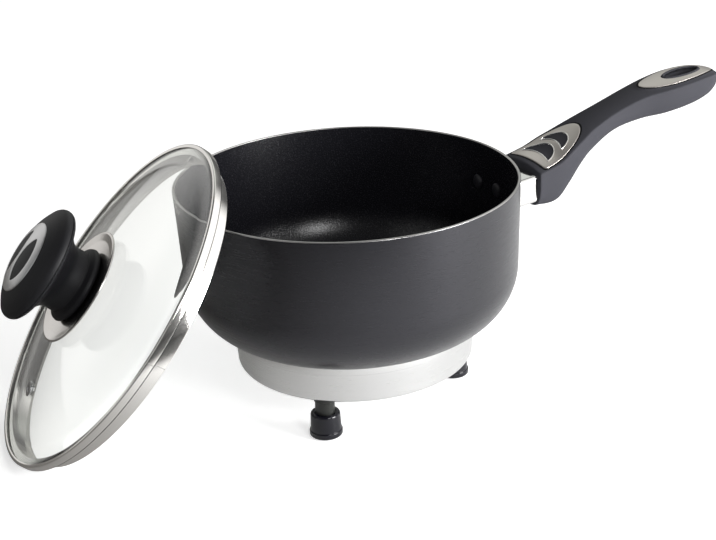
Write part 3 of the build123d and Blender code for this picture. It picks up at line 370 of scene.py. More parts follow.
slotMaterials = {
    "pan_coating": "enamel", "polished_steel": "polished", "plain_steel": "satinSteel",
    "grip_plastic": "grip", "satin_inlay": "inlaySatin", "silver_inlay": "inlaySilver",
    "soft_pad": "softPad", "cover_aluminium": "coverSatin", "peg_steel": "footPeg",
    "foot_plastic": "footCap", "plain_aluminium": "plainAluminium", "sheath_steel": "sheath",
    "terminal_steel": "paleSeal", "felt": "heatFelt", "limiter_case": "plainAluminium",
    "fuse_case": "fuseBrass", "lead_sleeve": "siliconeSleeve", "inlet_plastic": "inletBlack",
    "pin_brass": "fuseBrass", "lid_glass": "lidGlass", "knob_plastic": "knobBlack",
    "gasket_rubber": "gasket",
}
for entry in frame["record"]["subparts"]:
    for slot in frame["nodes"][entry["node"]].material_slots:
        slot.material = made[slotMaterials[entry["material_slot"]]]
print("materials", len(made))

# Pan

pan = {"rim": 101.8, "top": 137.0, "wall": 1.8, "draft": 1.66, "low": 47.1, "corner": 37.5,
       "cornerInside": 33.7, "floor": 50.9, "bend": 84.6, "bareBand": 0.45, "coatFrom": 0.55,
       "coatWallFrom": 60}
cornerCentre = pan["rim"] - pan["draft"] - pan["corner"]
slope = pan["draft"] / (pan["top"] - pan["bend"])


def panRadius(z):
    if z >= pan["bend"]:
        share = (z - pan["bend"]) / (pan["top"] - pan["bend"])
        return pan["rim"] - pan["draft"] + pan["draft"] * share
    return cornerCentre + math.sqrt(pan["corner"] ** 2 - (pan["bend"] - z) ** 2)


def pickPan(centre, normal):
    # bare metal on the rim, the non-stick coat inside
    radius = math.hypot(centre.x, centre.y)
    inside = pan["rim"] - pan["wall"] * pan["coatFrom"] - slope * (pan["top"] - centre.z)
    if centre.z > pan["top"] - pan["bareBand"]:
        return 2
    if centre.z > pan["floor"] - 1 and radius < inside and (normal.z > 0 or centre.z > pan["coatWallFrom"]):
        towardsAxis = normal.x * centre.x + normal.y * centre.y
        if towardsAxis < 0 or normal.z > 0.9:
            return 1
    return 0


outerFoot = pan["rim"] - slope * (pan["top"] - pan["low"])
innerFoot = pan["rim"] - pan["wall"] - slope * (pan["top"] - pan["floor"])
panLine = roundedLine([
    (0, pan["low"], 0), (outerFoot, pan["low"], pan["corner"]), (pan["rim"], pan["top"], 0.8),
    (pan["rim"] - pan["wall"], pan["top"], 0.7), (innerFoot, pan["floor"], pan["cornerInside"]),
    (0, pan["floor"], 0)], 30)
panPiece = lathe("pan.body", panLine, ["enamel", "nonStick", "bareRim"], panPlace, pickPan, 256)
addPiece(panPiece, "pan", "pan_coating", "pan_body")

rivet = {"height": 111.4, "spacing": 20.8, "radius": 4.4, "dome": 1.6, "sunk": 0.4, "edge": 0.15, "steps": 10}
rivetLine = [(rivet["radius"], -rivet["sunk"]), (rivet["radius"], rivet["edge"])]
for k in range(1, rivet["steps"]):
    c, s = polar(1, 90 * k / rivet["steps"])
    rivetLine.append((rivet["radius"] * c, rivet["edge"] + (rivet["dome"] - rivet["edge"]) * s))
rivetLine.append((0, rivet["dome"]))
for name, side in (("right", -1), ("left", 1)):
    y = side * rivet["spacing"] / 2
    inner = math.sqrt((panRadius(rivet["height"]) - pan["wall"]) ** 2 - y ** 2)
    place = Matrix.Translation(atPan(inner, y, rivet["height"])) @ Matrix.Rotation(math.radians(-90), 4, "Y")
    addPiece(lathe("rivet.head." + name, rivetLine, ["rivetCoat"], place, None, 48), "pan", "pan_coating")
print("pan")

# Heater cover and feet

cover = {"top": 73.7, "foot": 71.8, "low": 25.4, "wall": 1.0, "turn": 3.0, "dish": 17.0, "up": 3.6,
         "hole": 2.7, "gap": 0.3, "bandHigh": 4.2, "bandOut": 0.35}
reach = math.sqrt(pan["corner"] ** 2 - (cover["top"] - cornerCentre) ** 2)
coverTop = pan["bend"] - reach - cover["gap"]
dishHigh = cover["low"] + cover["up"]
footInside = cover["foot"] - cover["wall"]
underBand = cover["top"] - cover["bandOut"]
coverLine = roundedLine([
    (cover["hole"], dishHigh, 0), (cover["dish"] - cover["up"], dishHigh, 0.8),
    (cover["dish"], cover["low"], 0.8), (cover["foot"], cover["low"], cover["turn"]),
    (cover["foot"] + 0.25, cover["low"] + 6, 0.5), (underBand, coverTop - cover["bandHigh"] - 1.0, 0.5),
    (underBand, coverTop - cover["bandHigh"] - 0.2, 0.3), (cover["top"], coverTop - cover["bandHigh"], 0.3),
    (cover["top"], coverTop, 0.35), (cover["top"] - cover["wall"], coverTop, 0.35),
    (footInside, cover["low"] + cover["turn"], 2.0), (footInside - 2, cover["low"] + cover["wall"], 0.8),
    (cover["dish"] + 0.4, cover["low"] + cover["wall"], 0.4),
    (cover["dish"] - cover["up"] + 0.4, dishHigh + cover["wall"], 0.4),
    (cover["hole"], dishHigh + cover["wall"], 0)], 10)
coverPiece = lathe("heater.cover", coverLine, ["coverSatin"], panPlace, None, 256, True)
inlet = {"from": 60, "to": 90, "half": 12.2, "low": 31.0, "high": 45.0}
inletWindow = [(inlet["from"], -inlet["half"]), (inlet["to"], -inlet["half"]), (inlet["to"], inlet["half"]),
               (inlet["from"], inlet["half"])]
cutAway(coverPiece, [prismCutter(inletWindow, inlet["low"], inlet["high"], panPlace)])
addPiece(coverPiece, "pan", "cover_aluminium", "heater_cover")

foot = {"circle": 62.0, "first": -16.5, "capHigh": 14.8, "capTop": 8.7, "capLow": 9.2, "bead": 9.8,
        "beadHigh": 3.6, "peg": 5.8, "pegLow": 4.0, "collar": 6.3, "collarLow": 22.4, "pegTop": 25.3,
        "bore": 2.05}
capLine = roundedLine([
    (0, 0, 0), (foot["bead"], 0, 1.4), (foot["bead"], foot["beadHigh"], 1.1),
    (foot["capLow"], foot["beadHigh"] + 0.3, 0.3), (foot["capTop"], foot["capHigh"], 1.8),
    (foot["peg"] + 0.05, foot["capHigh"], 0.5), (foot["peg"] + 0.05, foot["pegLow"], 0),
    (0, foot["pegLow"], 0)], 10)
pegLine = roundedLine([
    (foot["bore"], foot["pegLow"], 0), (foot["peg"], foot["pegLow"], 0.3),
    (foot["peg"], foot["collarLow"] - 0.5, 0.3), (foot["collar"], foot["collarLow"], 0.3),
    (foot["collar"], foot["pegTop"], 0.4), (foot["bore"], foot["pegTop"], 0)], 6)
for index in range(3):
    x, y = polar(foot["circle"], foot["first"] + 120 * index)
    place = Matrix.Translation(atPan(x, y, 0))
    cap = lathe("foot.cap." + str(index + 1), capLine, ["footCap"], place, None, 96)
    addPiece(cap, "pan", "foot_plastic")
    peg = lathe("foot.peg." + str(index + 1), pegLine, ["footPeg"], place, None, 72, True)
    addPiece(peg, "pan", "peg_steel")
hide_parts("foot_caps")
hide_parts("foot_pegs")
print("cover and feet")

# Handle

# Stations out from the pan's rim: half width, side edge above the rim, crown, underside, squareness
gripStations = [
    (22.2, 21.6, -17.6, 3.0, -40.8, 4.4), (38.2, 21.2, -13.6, 2.8, -41.2, 4.2),
    (48.2, 19.4, -8.8, 2.5, -33.6, 3.8), (58.2, 16.8, -4.2, 2.2, -24.2, 3.4),
    (68.2, 14.3, 0.4, 1.9, -16.8, 3.2), (88.2, 12.2, 7.4, 1.6, -6.6, 3.0),
    (110.2, 13.0, 13.4, 1.6, -2.8, 3.0), (130.2, 16.6, 16.4, 1.8, -2.0, 3.0),
    (148.2, 17.6, 18.6, 1.8, 0.2, 3.0), (162.2, 15.7, 19.4, 1.6, 3.4, 3.0),
    (170.6, 11.6, 18.8, 1.2, 6.6, 2.8), (175.6, 6.2, 17.4, 0.8, 9.6, 2.6),
    (178.0, 2.0, 15.8, 0.4, 12.2, 2.4)]
gripSection = {"leastCrown": 0.1, "soft": 1.0, "softShare": 0.3, "topSteps": 32, "lowerSteps": 64,
               "turnSpots": (0.2, 0.4, 0.6, 0.8)}


def gripAt(x):
    # half width, side edge, crown, underside and squareness along the grip
    out = x - pan["rim"]
    spots = gripStations
    i = 0
    while i < len(spots) - 2 and out > spots[i + 1][0]:
        i += 1
    a, b = spots[i], spots[i + 1]
    before = spots[max(i - 1, 0)]
    after = spots[min(i + 2, len(spots) - 1)]
    span = b[0] - a[0]
    t = min(max((out - a[0]) / span, 0), 1)
    sizes = []
    for c in range(1, 6):
        slopeA = (b[c] - before[c]) / (b[0] - before[0]) * span
        slopeB = (after[c] - a[c]) / (after[0] - a[0]) * span
        sizes.append((2 * t ** 3 - 3 * t ** 2 + 1) * a[c] + (t ** 3 - 2 * t ** 2 + t) * slopeA
                     + (3 * t ** 2 - 2 * t ** 3) * b[c] + (t ** 3 - t ** 2) * slopeB)
    halfWidth, edge, crown, under, square = sizes
    return halfWidth, edge + pan["top"], max(crown, gripSection["leastCrown"]), under + pan["top"], square


endField = {"x": 246.7, "halfLength": 30.6, "halfWidth": 15.0, "lift": 0.6, "soft": 0.06}


def gripTop(x, y):
    # crowned top, with the low raised field round the end plate
    halfWidth, edge, crown, under, square = gripAt(x)
    arc = (halfWidth ** 2 + crown ** 2) / (2 * crown)
    height = edge + crown - arc + math.sqrt(max(arc ** 2 - y ** 2, 0))
    away = math.hypot((x - endField["x"]) / endField["halfLength"], y / endField["halfWidth"])
    share = min(max((1 + endField["soft"] - away) / (2 * endField["soft"]), 0), 1)
    return height + endField["lift"] * share * share * (3 - 2 * share)


def gripRing(x, inset):
    # top from one side edge to the other, softened edges, then the lower half
    halfWidth, edge, crown, under, square = gripAt(x)
    soft = min(gripSection["soft"], halfWidth * gripSection["softShare"])
    depth = edge - under
    points = []
    for k in range(gripSection["topSteps"] + 1):
        y = (halfWidth - soft) * (1 - 2 * k / gripSection["topSteps"])
        points.append(Vector((y, gripTop(x, y))))
    first = math.degrees(math.asin(min((soft / depth) ** (square / 2), 1)))
    lower = []
    for k in range(gripSection["lowerSteps"] + 1):
        c, s = polar(1, 180 + first + (180 - 2 * first) * k / gripSection["lowerSteps"])
        y = halfWidth * abs(c) ** (2 / square) * (1 if c >= 0 else -1)
        lower.append(Vector((y, edge - depth * abs(s) ** (2 / square))))

    def turn(start, corner, end):
        return [start.lerp(corner, t).lerp(corner.lerp(end, t), t) for t in gripSection["turnSpots"]]

    points += turn(points[-1], Vector((-halfWidth, edge)), lower[0]) + lower
    points += turn(lower[-1], Vector((halfWidth, edge)), points[0])
    middle = Vector((0, (edge + under) / 2))
    return [p - (p - middle).normalized() * inset for p in points]


# Rings of the grip: (where, inset) at its rounded front, then one a millimetre, closer ones at the end
gripRings = {"front": [(124.0, 0.8), (124.25, 0.3), (124.8, 0.0)], "start": 125.5, "count": 146,
             "end": 271.3, "endLength": 8.5, "endCount": 18}


def sweepGrip(name):
    work = bmesh.new()
    stops = gripRings["front"] + [(gripRings["start"] + k, 0.0) for k in range(gripRings["count"])]
    for k in range(1, gripRings["endCount"] + 1):
        share = math.sin(k / gripRings["endCount"] * math.pi / 2)
        stops.append((gripRings["end"] + gripRings["endLength"] * share, 0.0))
    rings = []
    for x, inset in stops:
        rings.append([work.verts.new(Vector((x, p.x, p.y)) * mm) for p in gripRing(x, inset)])
    for a, b in zip(rings, rings[1:]):
        joinRings(work, a, b)
    work.faces.new(rings[0])
    work.faces.new(list(reversed(rings[-1])))
    return finishMesh(name, meshFrom(name, work), ["grip"], panPlace)


plateStyle = {"grid": 1.6, "bevelSteps": 3, "edgeTilt": 0.97, "sharp": 40, "weld": 0.00001, "cut": 0.000001}


def layPlate(name, outlines, finishes, settings, ground, slotName, *nodes):
    # a thin plate with rounded edges, laid over a surface; outlines after the first are holes
    curve = bpy.data.curves.new(name, "CURVE")
    curve.dimensions = "2D"
    curve.fill_mode = "BOTH"
    curve.extrude = settings["thick"] / 2 * mm
    curve.bevel_depth = settings["edge"] * mm
    curve.bevel_resolution = plateStyle["bevelSteps"]
    curve.offset = -settings["edge"] * mm
    for outline in outlines:
        spline = curve.splines.new("POLY")
        spline.points.add(len(outline) - 1)
        spline.use_cyclic_u = True
        for point, (x, y) in zip(spline.points, outline):
            point.co = (x * mm, y * mm, 0, 1)
    flat = addObject(name + ".flat", curve, Matrix())
    bpy.context.view_layer.update()
    mesh = bpy.data.meshes.new_from_object(flat)
    bpy.data.objects.remove(flat)
    work = bmesh.new()
    work.from_mesh(mesh)
    bmesh.ops.remove_doubles(work, verts=work.verts, dist=plateStyle["weld"])
    # a grid of cuts lets the plate bend
    for axis, normal in enumerate((Vector((1, 0, 0)), Vector((0, 1, 0)))):
        values = [point[axis] for outline in outlines for point in outline]
        start, end = min(values), max(values)
        count = int((end - start) / plateStyle["grid"])
        for k in range(1, count):
            spot = normal * (start + (end - start) * k / count) * mm
            bmesh.ops.bisect_plane(work, geom=work.verts[:] + work.edges[:] + work.faces[:],
                                   dist=plateStyle["cut"], plane_co=spot, plane_no=normal)
    for face in work.faces:
        face.material_index = int(len(finishes) > 1 and abs(face.normal.z) < plateStyle["edgeTilt"])
    for vert in work.verts:
        lift = vert.co.z - settings["thick"] / 2 * mm - settings["edge"] * mm
        vert.co.z = ground["top"](vert.co.x / mm, vert.co.y / mm) * mm + lift + settings["proud"] * mm
    bmesh.ops.recalc_face_normals(work, faces=work.faces)
    mesh.clear_geometry()
    work.to_mesh(mesh)
    work.free()
    mesh.materials.clear()
    piece = finishMesh(name, mesh, finishes, ground["place"], None, plateStyle["sharp"])
    return addPiece(piece, ground["body"], slotName, *nodes)


def shieldOutline(start, end, half, corner):
    # straight front with rounded corners, half an ellipse at the far end
    out = [(start + corner + c, -half + corner + s) for c, s in quarterArc(corner, 180)]
    for k in range(2 * arcSteps + 1):
        c, s = polar(1, -90 + 180 * k / (2 * arcSteps))
        x = start + (end - start) * c
        if x > start + corner:
            out.append((x, half * s))
    return out + [(start + corner + c, half - corner + s) for c, s in quarterArc(corner, 90)]


tipTrim = {"plain": 0.035, "inset": 0.09}  # how much of a half-moon's tips is cut off


def crescentOutline(tip, halfWidth, farRise, nearRise, inset):
    # half-moon between two arcs that share their tips
    def arc(rise, grow):
        radius = (halfWidth ** 2 + rise ** 2) / (2 * rise)
        half = math.degrees(math.acos(max(-1, min(1, (radius - rise) / radius))))
        return tip + rise - radius, radius + grow, half

    out = []
    for (centre, radius, half), order in ((arc(farRise, -inset), 1), (arc(nearRise, inset), -1)):
        trim = half * (1 - tipTrim["plain"] - tipTrim["inset"] * inset)
        for k in range(arcSteps + 1):
            x, y = polar(radius, order * (-trim + 2 * trim * k / arcSteps))
            out.append((centre + x, y))
    return out


onGrip = {"top": gripTop, "place": panPlace, "body": "pan"}
slotCut = {"x": 251.2, "halfLength": 13.0, "half": 5.7, "low": 100, "high": 200}
lipStyle = {"wide": 1.8, "thick": 1.6, "edge": 0.7, "proud": 0.8}
plateSettings = {"thick": 0.9, "edge": 0.45, "proud": 0.3}
padStyle = {"inset": 0.1, "thick": 0.6, "edge": 0.2, "proud": -0.1}
windows = [(135.2, 13.6, 10.8, 2.0), (147.2, 11.2, 10.4, 2.9)]  # tip, half width, rises of both arcs
windowRim = {"wide": 0.55, "thick": 0.9, "edge": 0.22, "proud": 0.7}
plateGapShade = {"wide": 1.3, "thick": 0.5, "edge": 0.1, "proud": 0.03}
shieldSize = {"start": 129.2, "end": 167.6, "half": 19.0, "corner": 2.0}
endSize = {"x": 246.7, "halfLength": 28.5, "half": 12.9, "slotGap": 1.9}


def slotOutline(grow=0):
    return ellipseOutline(slotCut["x"], slotCut["halfLength"] + grow, slotCut["half"] + grow)


def endOutline(grow=0):
    return ellipseOutline(endSize["x"], endSize["halfLength"] + grow, endSize["half"] + grow)


grip = sweepGrip("handle.grip")
cutAway(grip, [prismCutter(slotOutline(), slotCut["low"], slotCut["high"], panPlace)])
addPiece(grip, "pan", "grip_plastic", "handle_grip")
layPlate("handle.slot.lip", [slotOutline(lipStyle["wide"]), slotOutline()], ["grip"], lipStyle, onGrip,
         "grip_plastic")

shield = shieldOutline(*shieldSize.values())
shieldAround = shieldOutline(shieldSize["start"] - plateGapShade["wide"], shieldSize["end"] + plateGapShade["wide"],
                             shieldSize["half"] + plateGapShade["wide"], shieldSize["corner"])
layPlate("handle.plate", [shield] + [crescentOutline(*w, 0) for w in windows], ["inlaySatin", "brightEdge"],
         plateSettings, onGrip, "satin_inlay", "front_inlay")
for index, window in enumerate(windows):
    pad = layPlate("handle.pad." + str(index + 1), [crescentOutline(*window, padStyle["inset"])], ["softPad"],
                   padStyle, onGrip, "soft_pad")
    layPlate("handle.window.rim." + str(index + 1),
             [crescentOutline(*window, -windowRim["wide"]), crescentOutline(*window, 0)], ["brightEdge"],
             windowRim, onGrip, "satin_inlay")
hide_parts("front_pads")

layPlate("handle.end.plate", [endOutline(), slotOutline(endSize["slotGap"])], ["inlaySatin", "brightEdge"],
         plateSettings, onGrip, "satin_inlay", "end_inlay")
# thin dark rings round both plates: painted shade in the gaps between the plates and the grip
for name, around, inside in (("handle.plate.gapShade", shieldAround, shield),
                             ("handle.end.gapShade", endOutline(plateGapShade["wide"]), endOutline())):
    layPlate(name, [around, inside], ["paintedSeamShade"], plateGapShade, onGrip, "grip_plastic")
print("grip")

# Flame guard between the pan and the grip

guard = {"half": 18.4, "low": 98.4, "high": 116.2, "corner": 2.5, "wall": 0.8, "slope": 4.5, "end": 128.0,
         "gap": 0.3}


def guardSection(outset):
    out = []
    half, corner = guard["half"] + outset, guard["corner"] + outset
    low, high = guard["low"] - outset, guard["high"] + outset
    for cy, cz, first in ((half - corner, high - corner, 0), (-half + corner, high - corner, 90),
                          (-half + corner, low + corner, 180), (half - corner, low + corner, 270)):
        out += [(cy + y, cz + z) for y, z in quarterArc(corner, first)]
    return out


def makeGuard():
    work = bmesh.new()
    rise = math.tan(math.radians(guard["slope"]))
    loops = []
    for outset in (0, -guard["wall"]):
        near, far = [], []
        for y, z in guardSection(outset):
            start = math.sqrt((panRadius(z) + guard["gap"]) ** 2 - y ** 2)
            for x, row in ((start, near), (guard["end"], far)):
                row.append(work.verts.new(Vector((x, y, z + (x - pan["rim"]) * rise)) * mm))
        loops.append((near, far))
    (nearOut, farOut), (nearIn, farIn) = loops
    for a, b in ((nearOut, farOut), (nearIn, farIn), (nearOut, nearIn), (farOut, farIn)):
        joinRings(work, a, b)
    return finishMesh("flame.guard", meshFrom("flame.guard", work), ["polished"], panPlace)


addPiece(makeGuard(), "pan", "polished_steel", "flame_guard")
print("guard")

# Lid, built flat about its own axis and then leant

lid = {"lean": 50.3, "side": 168.1, "x": -142.127, "y": 29.951, "z": 80.870}
lidPlace = (Matrix.Translation(atPan(lid["x"], lid["y"], lid["z"]))
            @ Matrix.Rotation(math.radians(lid["side"]), 4, "Z")
            @ Matrix.Rotation(math.radians(lid["lean"]), 4, "Y") @ Matrix.Rotation(math.radians(90), 4, "Z"))
glass = {"flange": 94.0, "rise": 16.2, "thick": 4.0, "low": 0.6, "edge": 103.9, "hole": 3.5, "steps": 24}
domeRadius = (glass["flange"] ** 2 + glass["rise"] ** 2) / (2 * glass["rise"])
domeCentre = glass["low"] + glass["thick"] + glass["rise"] - domeRadius
glassTop = glass["low"] + glass["thick"] + glass["rise"]


def domeAt(radius, depth=0.0):
    return domeCentre + math.sqrt((domeRadius - depth) ** 2 - radius ** 2)


def makeGlass():
    under = domeRadius - glass["thick"]
    lowRadius = math.sqrt(under ** 2 - (glass["low"] - domeCentre) ** 2)
    shares = [k / glass["steps"] for k in range(glass["steps"] + 1)]
    line = []
    for share in shares:
        r = glass["hole"] + (glass["flange"] - glass["hole"]) * share
        line.append((r, domeAt(r)))
    high = glass["low"] + glass["thick"]
    line += roundedLine([(glass["flange"], high, 0), (glass["edge"], high, 0.9),
                         (glass["edge"], glass["low"], 0.5), (lowRadius, glass["low"], 0)], 6)[1:]
    for share in shares[1:]:
        r = lowRadius + (glass["hole"] - lowRadius) * share
        line.append((r, domeAt(r, glass["thick"])))
    return lathe("lid.glass", line, ["lidGlass"], lidPlace, None, 192, True)


vent = {"radius": 67.4, "turn": 270.0, "flange": 4.6, "bore": 2.6, "hole": 1.5, "tube": 2.5, "curl": 3.7,
        "low": -4.9, "high": 0.9, "reach": 15}
ventX, ventY = polar(vent["radius"], vent["turn"])
ventTilt = math.asin(vent["radius"] / domeRadius)
ventFrame = (Matrix.Translation(Vector((ventX, ventY, domeAt(vent["radius"]))) * mm)
             @ Matrix.Rotation(math.radians(vent["turn"]), 4, "Z") @ Matrix.Rotation(ventTilt, 4, "Y"))
ventPlace = lidPlace @ ventFrame
glassPiece = makeGlass()
ventBore = ellipseOutline(0, vent["bore"], vent["bore"], 48)
cutAway(glassPiece, [prismCutter(ventBore, -vent["reach"], vent["reach"], ventPlace)])
addPiece(glassPiece, "lid", "lid_glass", "lid_glass")

band = {"radius": 104.8, "lip": 102.2, "sheet": 0.6, "top": 5.2, "skirt": 98.3, "deep": 8.8, "curl": 2.2,
        "groove": 0.28, "inside": 0.55, "shoulder": 3.7, "shadeHigh": 0.9, "shadeTilt": 0.12}
grooveRadius = band["skirt"] - band["groove"]
curlRadius = band["skirt"] - band["curl"]
skirtInside = band["skirt"] - band["sheet"]
bandInside = band["radius"] - band["sheet"]
bandLine = roundedLine([
    (band["lip"], band["top"] - band["sheet"], 0.1), (band["lip"], band["top"] - 0.15, 0.3),
    (band["lip"] + 0.8, band["top"], 0.4), (band["radius"], band["top"], 1.3), (band["radius"], 0.0, 0.9),
    (grooveRadius, 0.0, 0.15), (grooveRadius, -0.8, 0.12), (band["skirt"], -1.0, 0.2),
    (band["skirt"], -band["deep"], 0.55), (curlRadius, -band["deep"], 0.3),
    (curlRadius, -band["deep"] + band["sheet"], 0.2), (skirtInside, -band["deep"] + 0.8, 0.3),
    (skirtInside, band["inside"], 0.3), (bandInside, band["inside"], 0.3),
    (bandInside, band["shoulder"], 0.3), (band["radius"] - 1.3, band["top"] - band["sheet"], 0.3)], 8)


def pickBand(centre, normal):
    # painted shade inside the step and in the groove between the tiers
    radius = math.hypot(centre.x, centre.y)
    step = abs(centre.z) < band["shadeHigh"] and normal.z < -band["shadeTilt"] and radius > band["skirt"]
    groove = -band["shadeHigh"] < centre.z < 0 and centre.x * normal.x + centre.y * normal.y > 0
    return int(step or groove and radius < band["skirt"] - 0.1)


bandPiece = lathe("lid.band", bandLine, ["bandSteel", "paintedSeamShade"], lidPlace, pickBand, 256, True)

# butt seam across both tiers
seam = {"turn": 5.0, "half": 0.3, "depth": 0.35, "past": 1, "tiers": [
    (band["radius"], 0.4, band["top"] - band["sheet"]), (band["skirt"], 0.5 - band["deep"], -0.9)]}
seamCuts = []
for outside, low, high in seam["tiers"]:
    c, s = polar(1, seam["turn"])
    near, far = outside - seam["depth"], outside + seam["past"]
    box = [(near, -seam["half"]), (far, -seam["half"]), (far, seam["half"]), (near, seam["half"])]
    seamCuts.append(prismCutter([(x * c - y * s, x * s + y * c) for x, y in box], low, high, lidPlace))
cutAway(bandPiece, seamCuts)
addPiece(bandPiece, "lid", "polished_steel", "lid_rim")


def addTurned(name, corners, steps, finish, place, segments, slotName, node):
    # a closed turned piece of the lid
    piece = lathe(name, roundedLine(corners, steps), [finish], place, None, segments, True)
    addPiece(piece, "lid", slotName, node)


addTurned("lid.vent", [
    (vent["hole"], vent["low"], 0.2), (vent["curl"], vent["low"], 0.3),
    (vent["curl"], vent["low"] + 0.65, 0.2), (vent["tube"], vent["low"] + 0.7, 0), (vent["tube"], 0.1, 0),
    (vent["flange"], 0.1, 0.2),
    (vent["flange"] - 0.2, vent["high"] - 0.05, 0.4), (vent["hole"] + 0.4, vent["high"], 0.35),
    (vent["hole"], vent["high"] - 0.4, 0.2)], 6, "satinSteel", ventPlace, 64, "plain_steel", "vent_eyelet")

knobBore = 2.8
dish = {"hub": 15.0, "radius": 35.4, "sheet": 0.9, "lift": 1.6}
dishEdge = glassTop + dish["lift"]
seat = glassTop + dish["sheet"]
addTurned("knob.dish", [
    (knobBore, glassTop, 0), (dish["hub"], glassTop, 6), (dish["radius"] - 5, dishEdge - 0.8, 6),
    (dish["radius"] - 1, dishEdge + 0.4, 2), (dish["radius"], dishEdge + 0.2, 0.3),
    (dish["radius"], dishEdge + 1.1, 0.3), (dish["radius"] - 1, dishEdge + 1.5, 1.0),
    (dish["radius"] - 5.4, dishEdge + 0.3, 5), (dish["hub"], seat, 6), (knobBore, seat, 0)], 10,
    "dishSatin", lidPlace, 160, "polished_steel", "knob_dish")

collar = {"hub": 15.0, "radius": 23.2, "top": 19.6, "high": 7.5}
collarTop = seat + collar["high"]
addTurned("knob.collar", [
    (knobBore, seat, 0), (collar["hub"], seat, 0.6), (collar["radius"] - 1.5, seat + 1.3, 1.2),
    (collar["radius"], seat + 3.0, 1.4), (collar["radius"] - 0.8, seat + 5.2, 1.4),
    (collar["top"], seat + 7.0, 0.8), (collar["top"], collarTop, 0.2), (knobBore, collarTop, 0)], 8,
    "knobBlack", lidPlace, 128, "knob_plastic", "knob_collar")

knob = {"neck": 19.2, "radius": 34.6, "wide": 29.4, "edge": 4.2, "top": 41.6, "groove": 0.5,
        "grooveFrom": -16, "grooveTo": -8, "neckHigh": 9.5}
wideZ = glassTop + knob["wide"]
topZ = glassTop + knob["top"]
e = knob["edge"]
flare = smoothLine([(knob["neck"], seat + knob["neckHigh"]), (19.5, glassTop + 16.5), (23.8, glassTop + 21.6),
                    (28.6, wideZ - 1.15 * e), (knob["radius"] - 0.6 * e + 0.6, wideZ - 0.75 * e)], 6)
bend = []
for degrees in (-38, -29, -20, -16, -15.5, -8.5, -8, -2, 6, 16, 26, 36, 45):
    inGroove = knob["grooveFrom"] < degrees < knob["grooveTo"]
    out, rise = polar(e - (knob["groove"] if inGroove else 0), degrees)
    bend.append((knob["radius"] - e + out, wideZ + 0.2 + rise))
crown = smoothLine([bend[-1], (28.0, topZ - 5.9), (19.0, topZ - 2.4), (9.0, topZ - 0.45), (0, topZ)], 8)
knobLine = [(0, collarTop), (knob["neck"], collarTop)] + flare + bend + crown[1:-1] + [(0, topZ)]
addPiece(lathe("knob.body", knobLine, ["knobBlack"], lidPlace), "lid", "knob_plastic", "knob")


def knobTopAt(x, y):
    r = math.hypot(x, y)
    for (r1, z1), (r0, z0) in zip(crown, crown[1:]):
        if r0 <= r <= r1:
            return z0 + (z1 - z0) * (r - r0) / max(r1 - r0, 0.0001)
    return crown[0][1]


def lensOutline(turn, inset):
    # between a round outer arc and a flatter arc beside the middle strip
    centre = knobWindow["strip"] + knobWindow["bow"]
    outer, inner = knobWindow["radius"] - inset, knobWindow["bow"] - inset
    x = (outer ** 2 - inner ** 2 + centre ** 2) / (2 * centre)
    y = math.sqrt(outer ** 2 - x ** 2)
    outerHalf = math.degrees(math.atan2(y, x))
    innerHalf = math.degrees(math.atan2(y, centre - x))
    c, s = polar(1, turn)
    out = []
    for middle, first, size, half in ((0, 0, outer, outerHalf), (centre, 180, inner, innerHalf)):
        trim = half * knobWindow["trim"]
        for k in range(arcSteps + 1):
            px, py = polar(size, first - trim + 2 * trim * k / arcSteps)
            out.append(((middle + px) * c - py * s, (middle + px) * s + py * c))
    return out


onKnob = {"top": knobTopAt, "place": lidPlace, "body": "lid"}
knobPlate = {"radius": 21.8, "thick": 0.8, "edge": 0.4, "proud": 0.2}
knobPad = {"inset": 0.1, "thick": 0.5, "edge": 0.2, "proud": 0.0}
knobWindow = {"radius": 15.8, "bow": 22.0, "strip": 1.7, "trim": 0.955, "turns": (0, 180)}
plateRound = ellipseOutline(0, knobPlate["radius"], knobPlate["radius"])
layPlate("knob.plate", [plateRound] + [lensOutline(turn, 0) for turn in knobWindow["turns"]],
         ["inlaySilver", "brightEdge"], knobPlate, onKnob, "silver_inlay", "knob_inlay")
for index, turn in enumerate(knobWindow["turns"]):
    pad = layPlate("knob.pad." + str(index + 1), [lensOutline(turn, knobPad["inset"])], ["softPad"], knobPad,
                   onKnob, "soft_pad")
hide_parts("knob_pads")
print("lid")

# Studio: pale floor, white backdrop, soft light

# Camera: focal length in pixels, distances in millimetres; turn is from its own side to the frame's axes
view = {"focal": 1550.8, "wide": 716, "away": 936.0, "rise": 22.766, "roll": -2.63, "turn": -28.55,
        "side": 3.8, "up": 78.3, "sensor": 36, "clip": 0.01}
viewTurn = math.radians(view["turn"])


def turnToFrame(x, y, z):
    # from the camera's own side of the pan to the frame's axes, in millimetres about the pan's axis
    c, s = math.cos(viewTurn), math.sin(viewTurn)
    return atPan(x * c - y * s, x * s + y * c, z)


def wayInFrame(way):
    return (turnToFrame(*way) - turnToFrame(0, 0, 0)) / mm


def howFar(tree, spot, way):
    return vectorMaths(tree, "DOT_PRODUCT", {0: spot, 1: way})["Value"]


# Limits are in metres along each way. In metal reflections the floor shows a painted glow to the right, and
# painted shade to the left and far back.
floor = {"half": 4.0, "height": -0.0004, "strength": 0.55, "throughGlass": 1.55, "inMetal": 0.50,
         "glassInMetal": 0.35, "paintedShadeInMetal": (0.22, 0.208, 0.195), "paintedFarShadeInMetal": (0.03, 0.03, 0.03),
         "across": {"way": (1, -0.15, 0), "limits": (-0.30, 0.12)},
         "back": {"way": (0, 1, 0), "limits": (-0.52, -0.34)}}


def seenThrough(tree, rays):
    # 1 for what glass shows directly, less where metal shows it
    direct = ramp(tree, rays["Glossy Depth"], (0, 1), (1.0, floor["glassInMetal"]))
    return maths(tree, "MULTIPLY", rays["Is Transmission Ray"], direct)


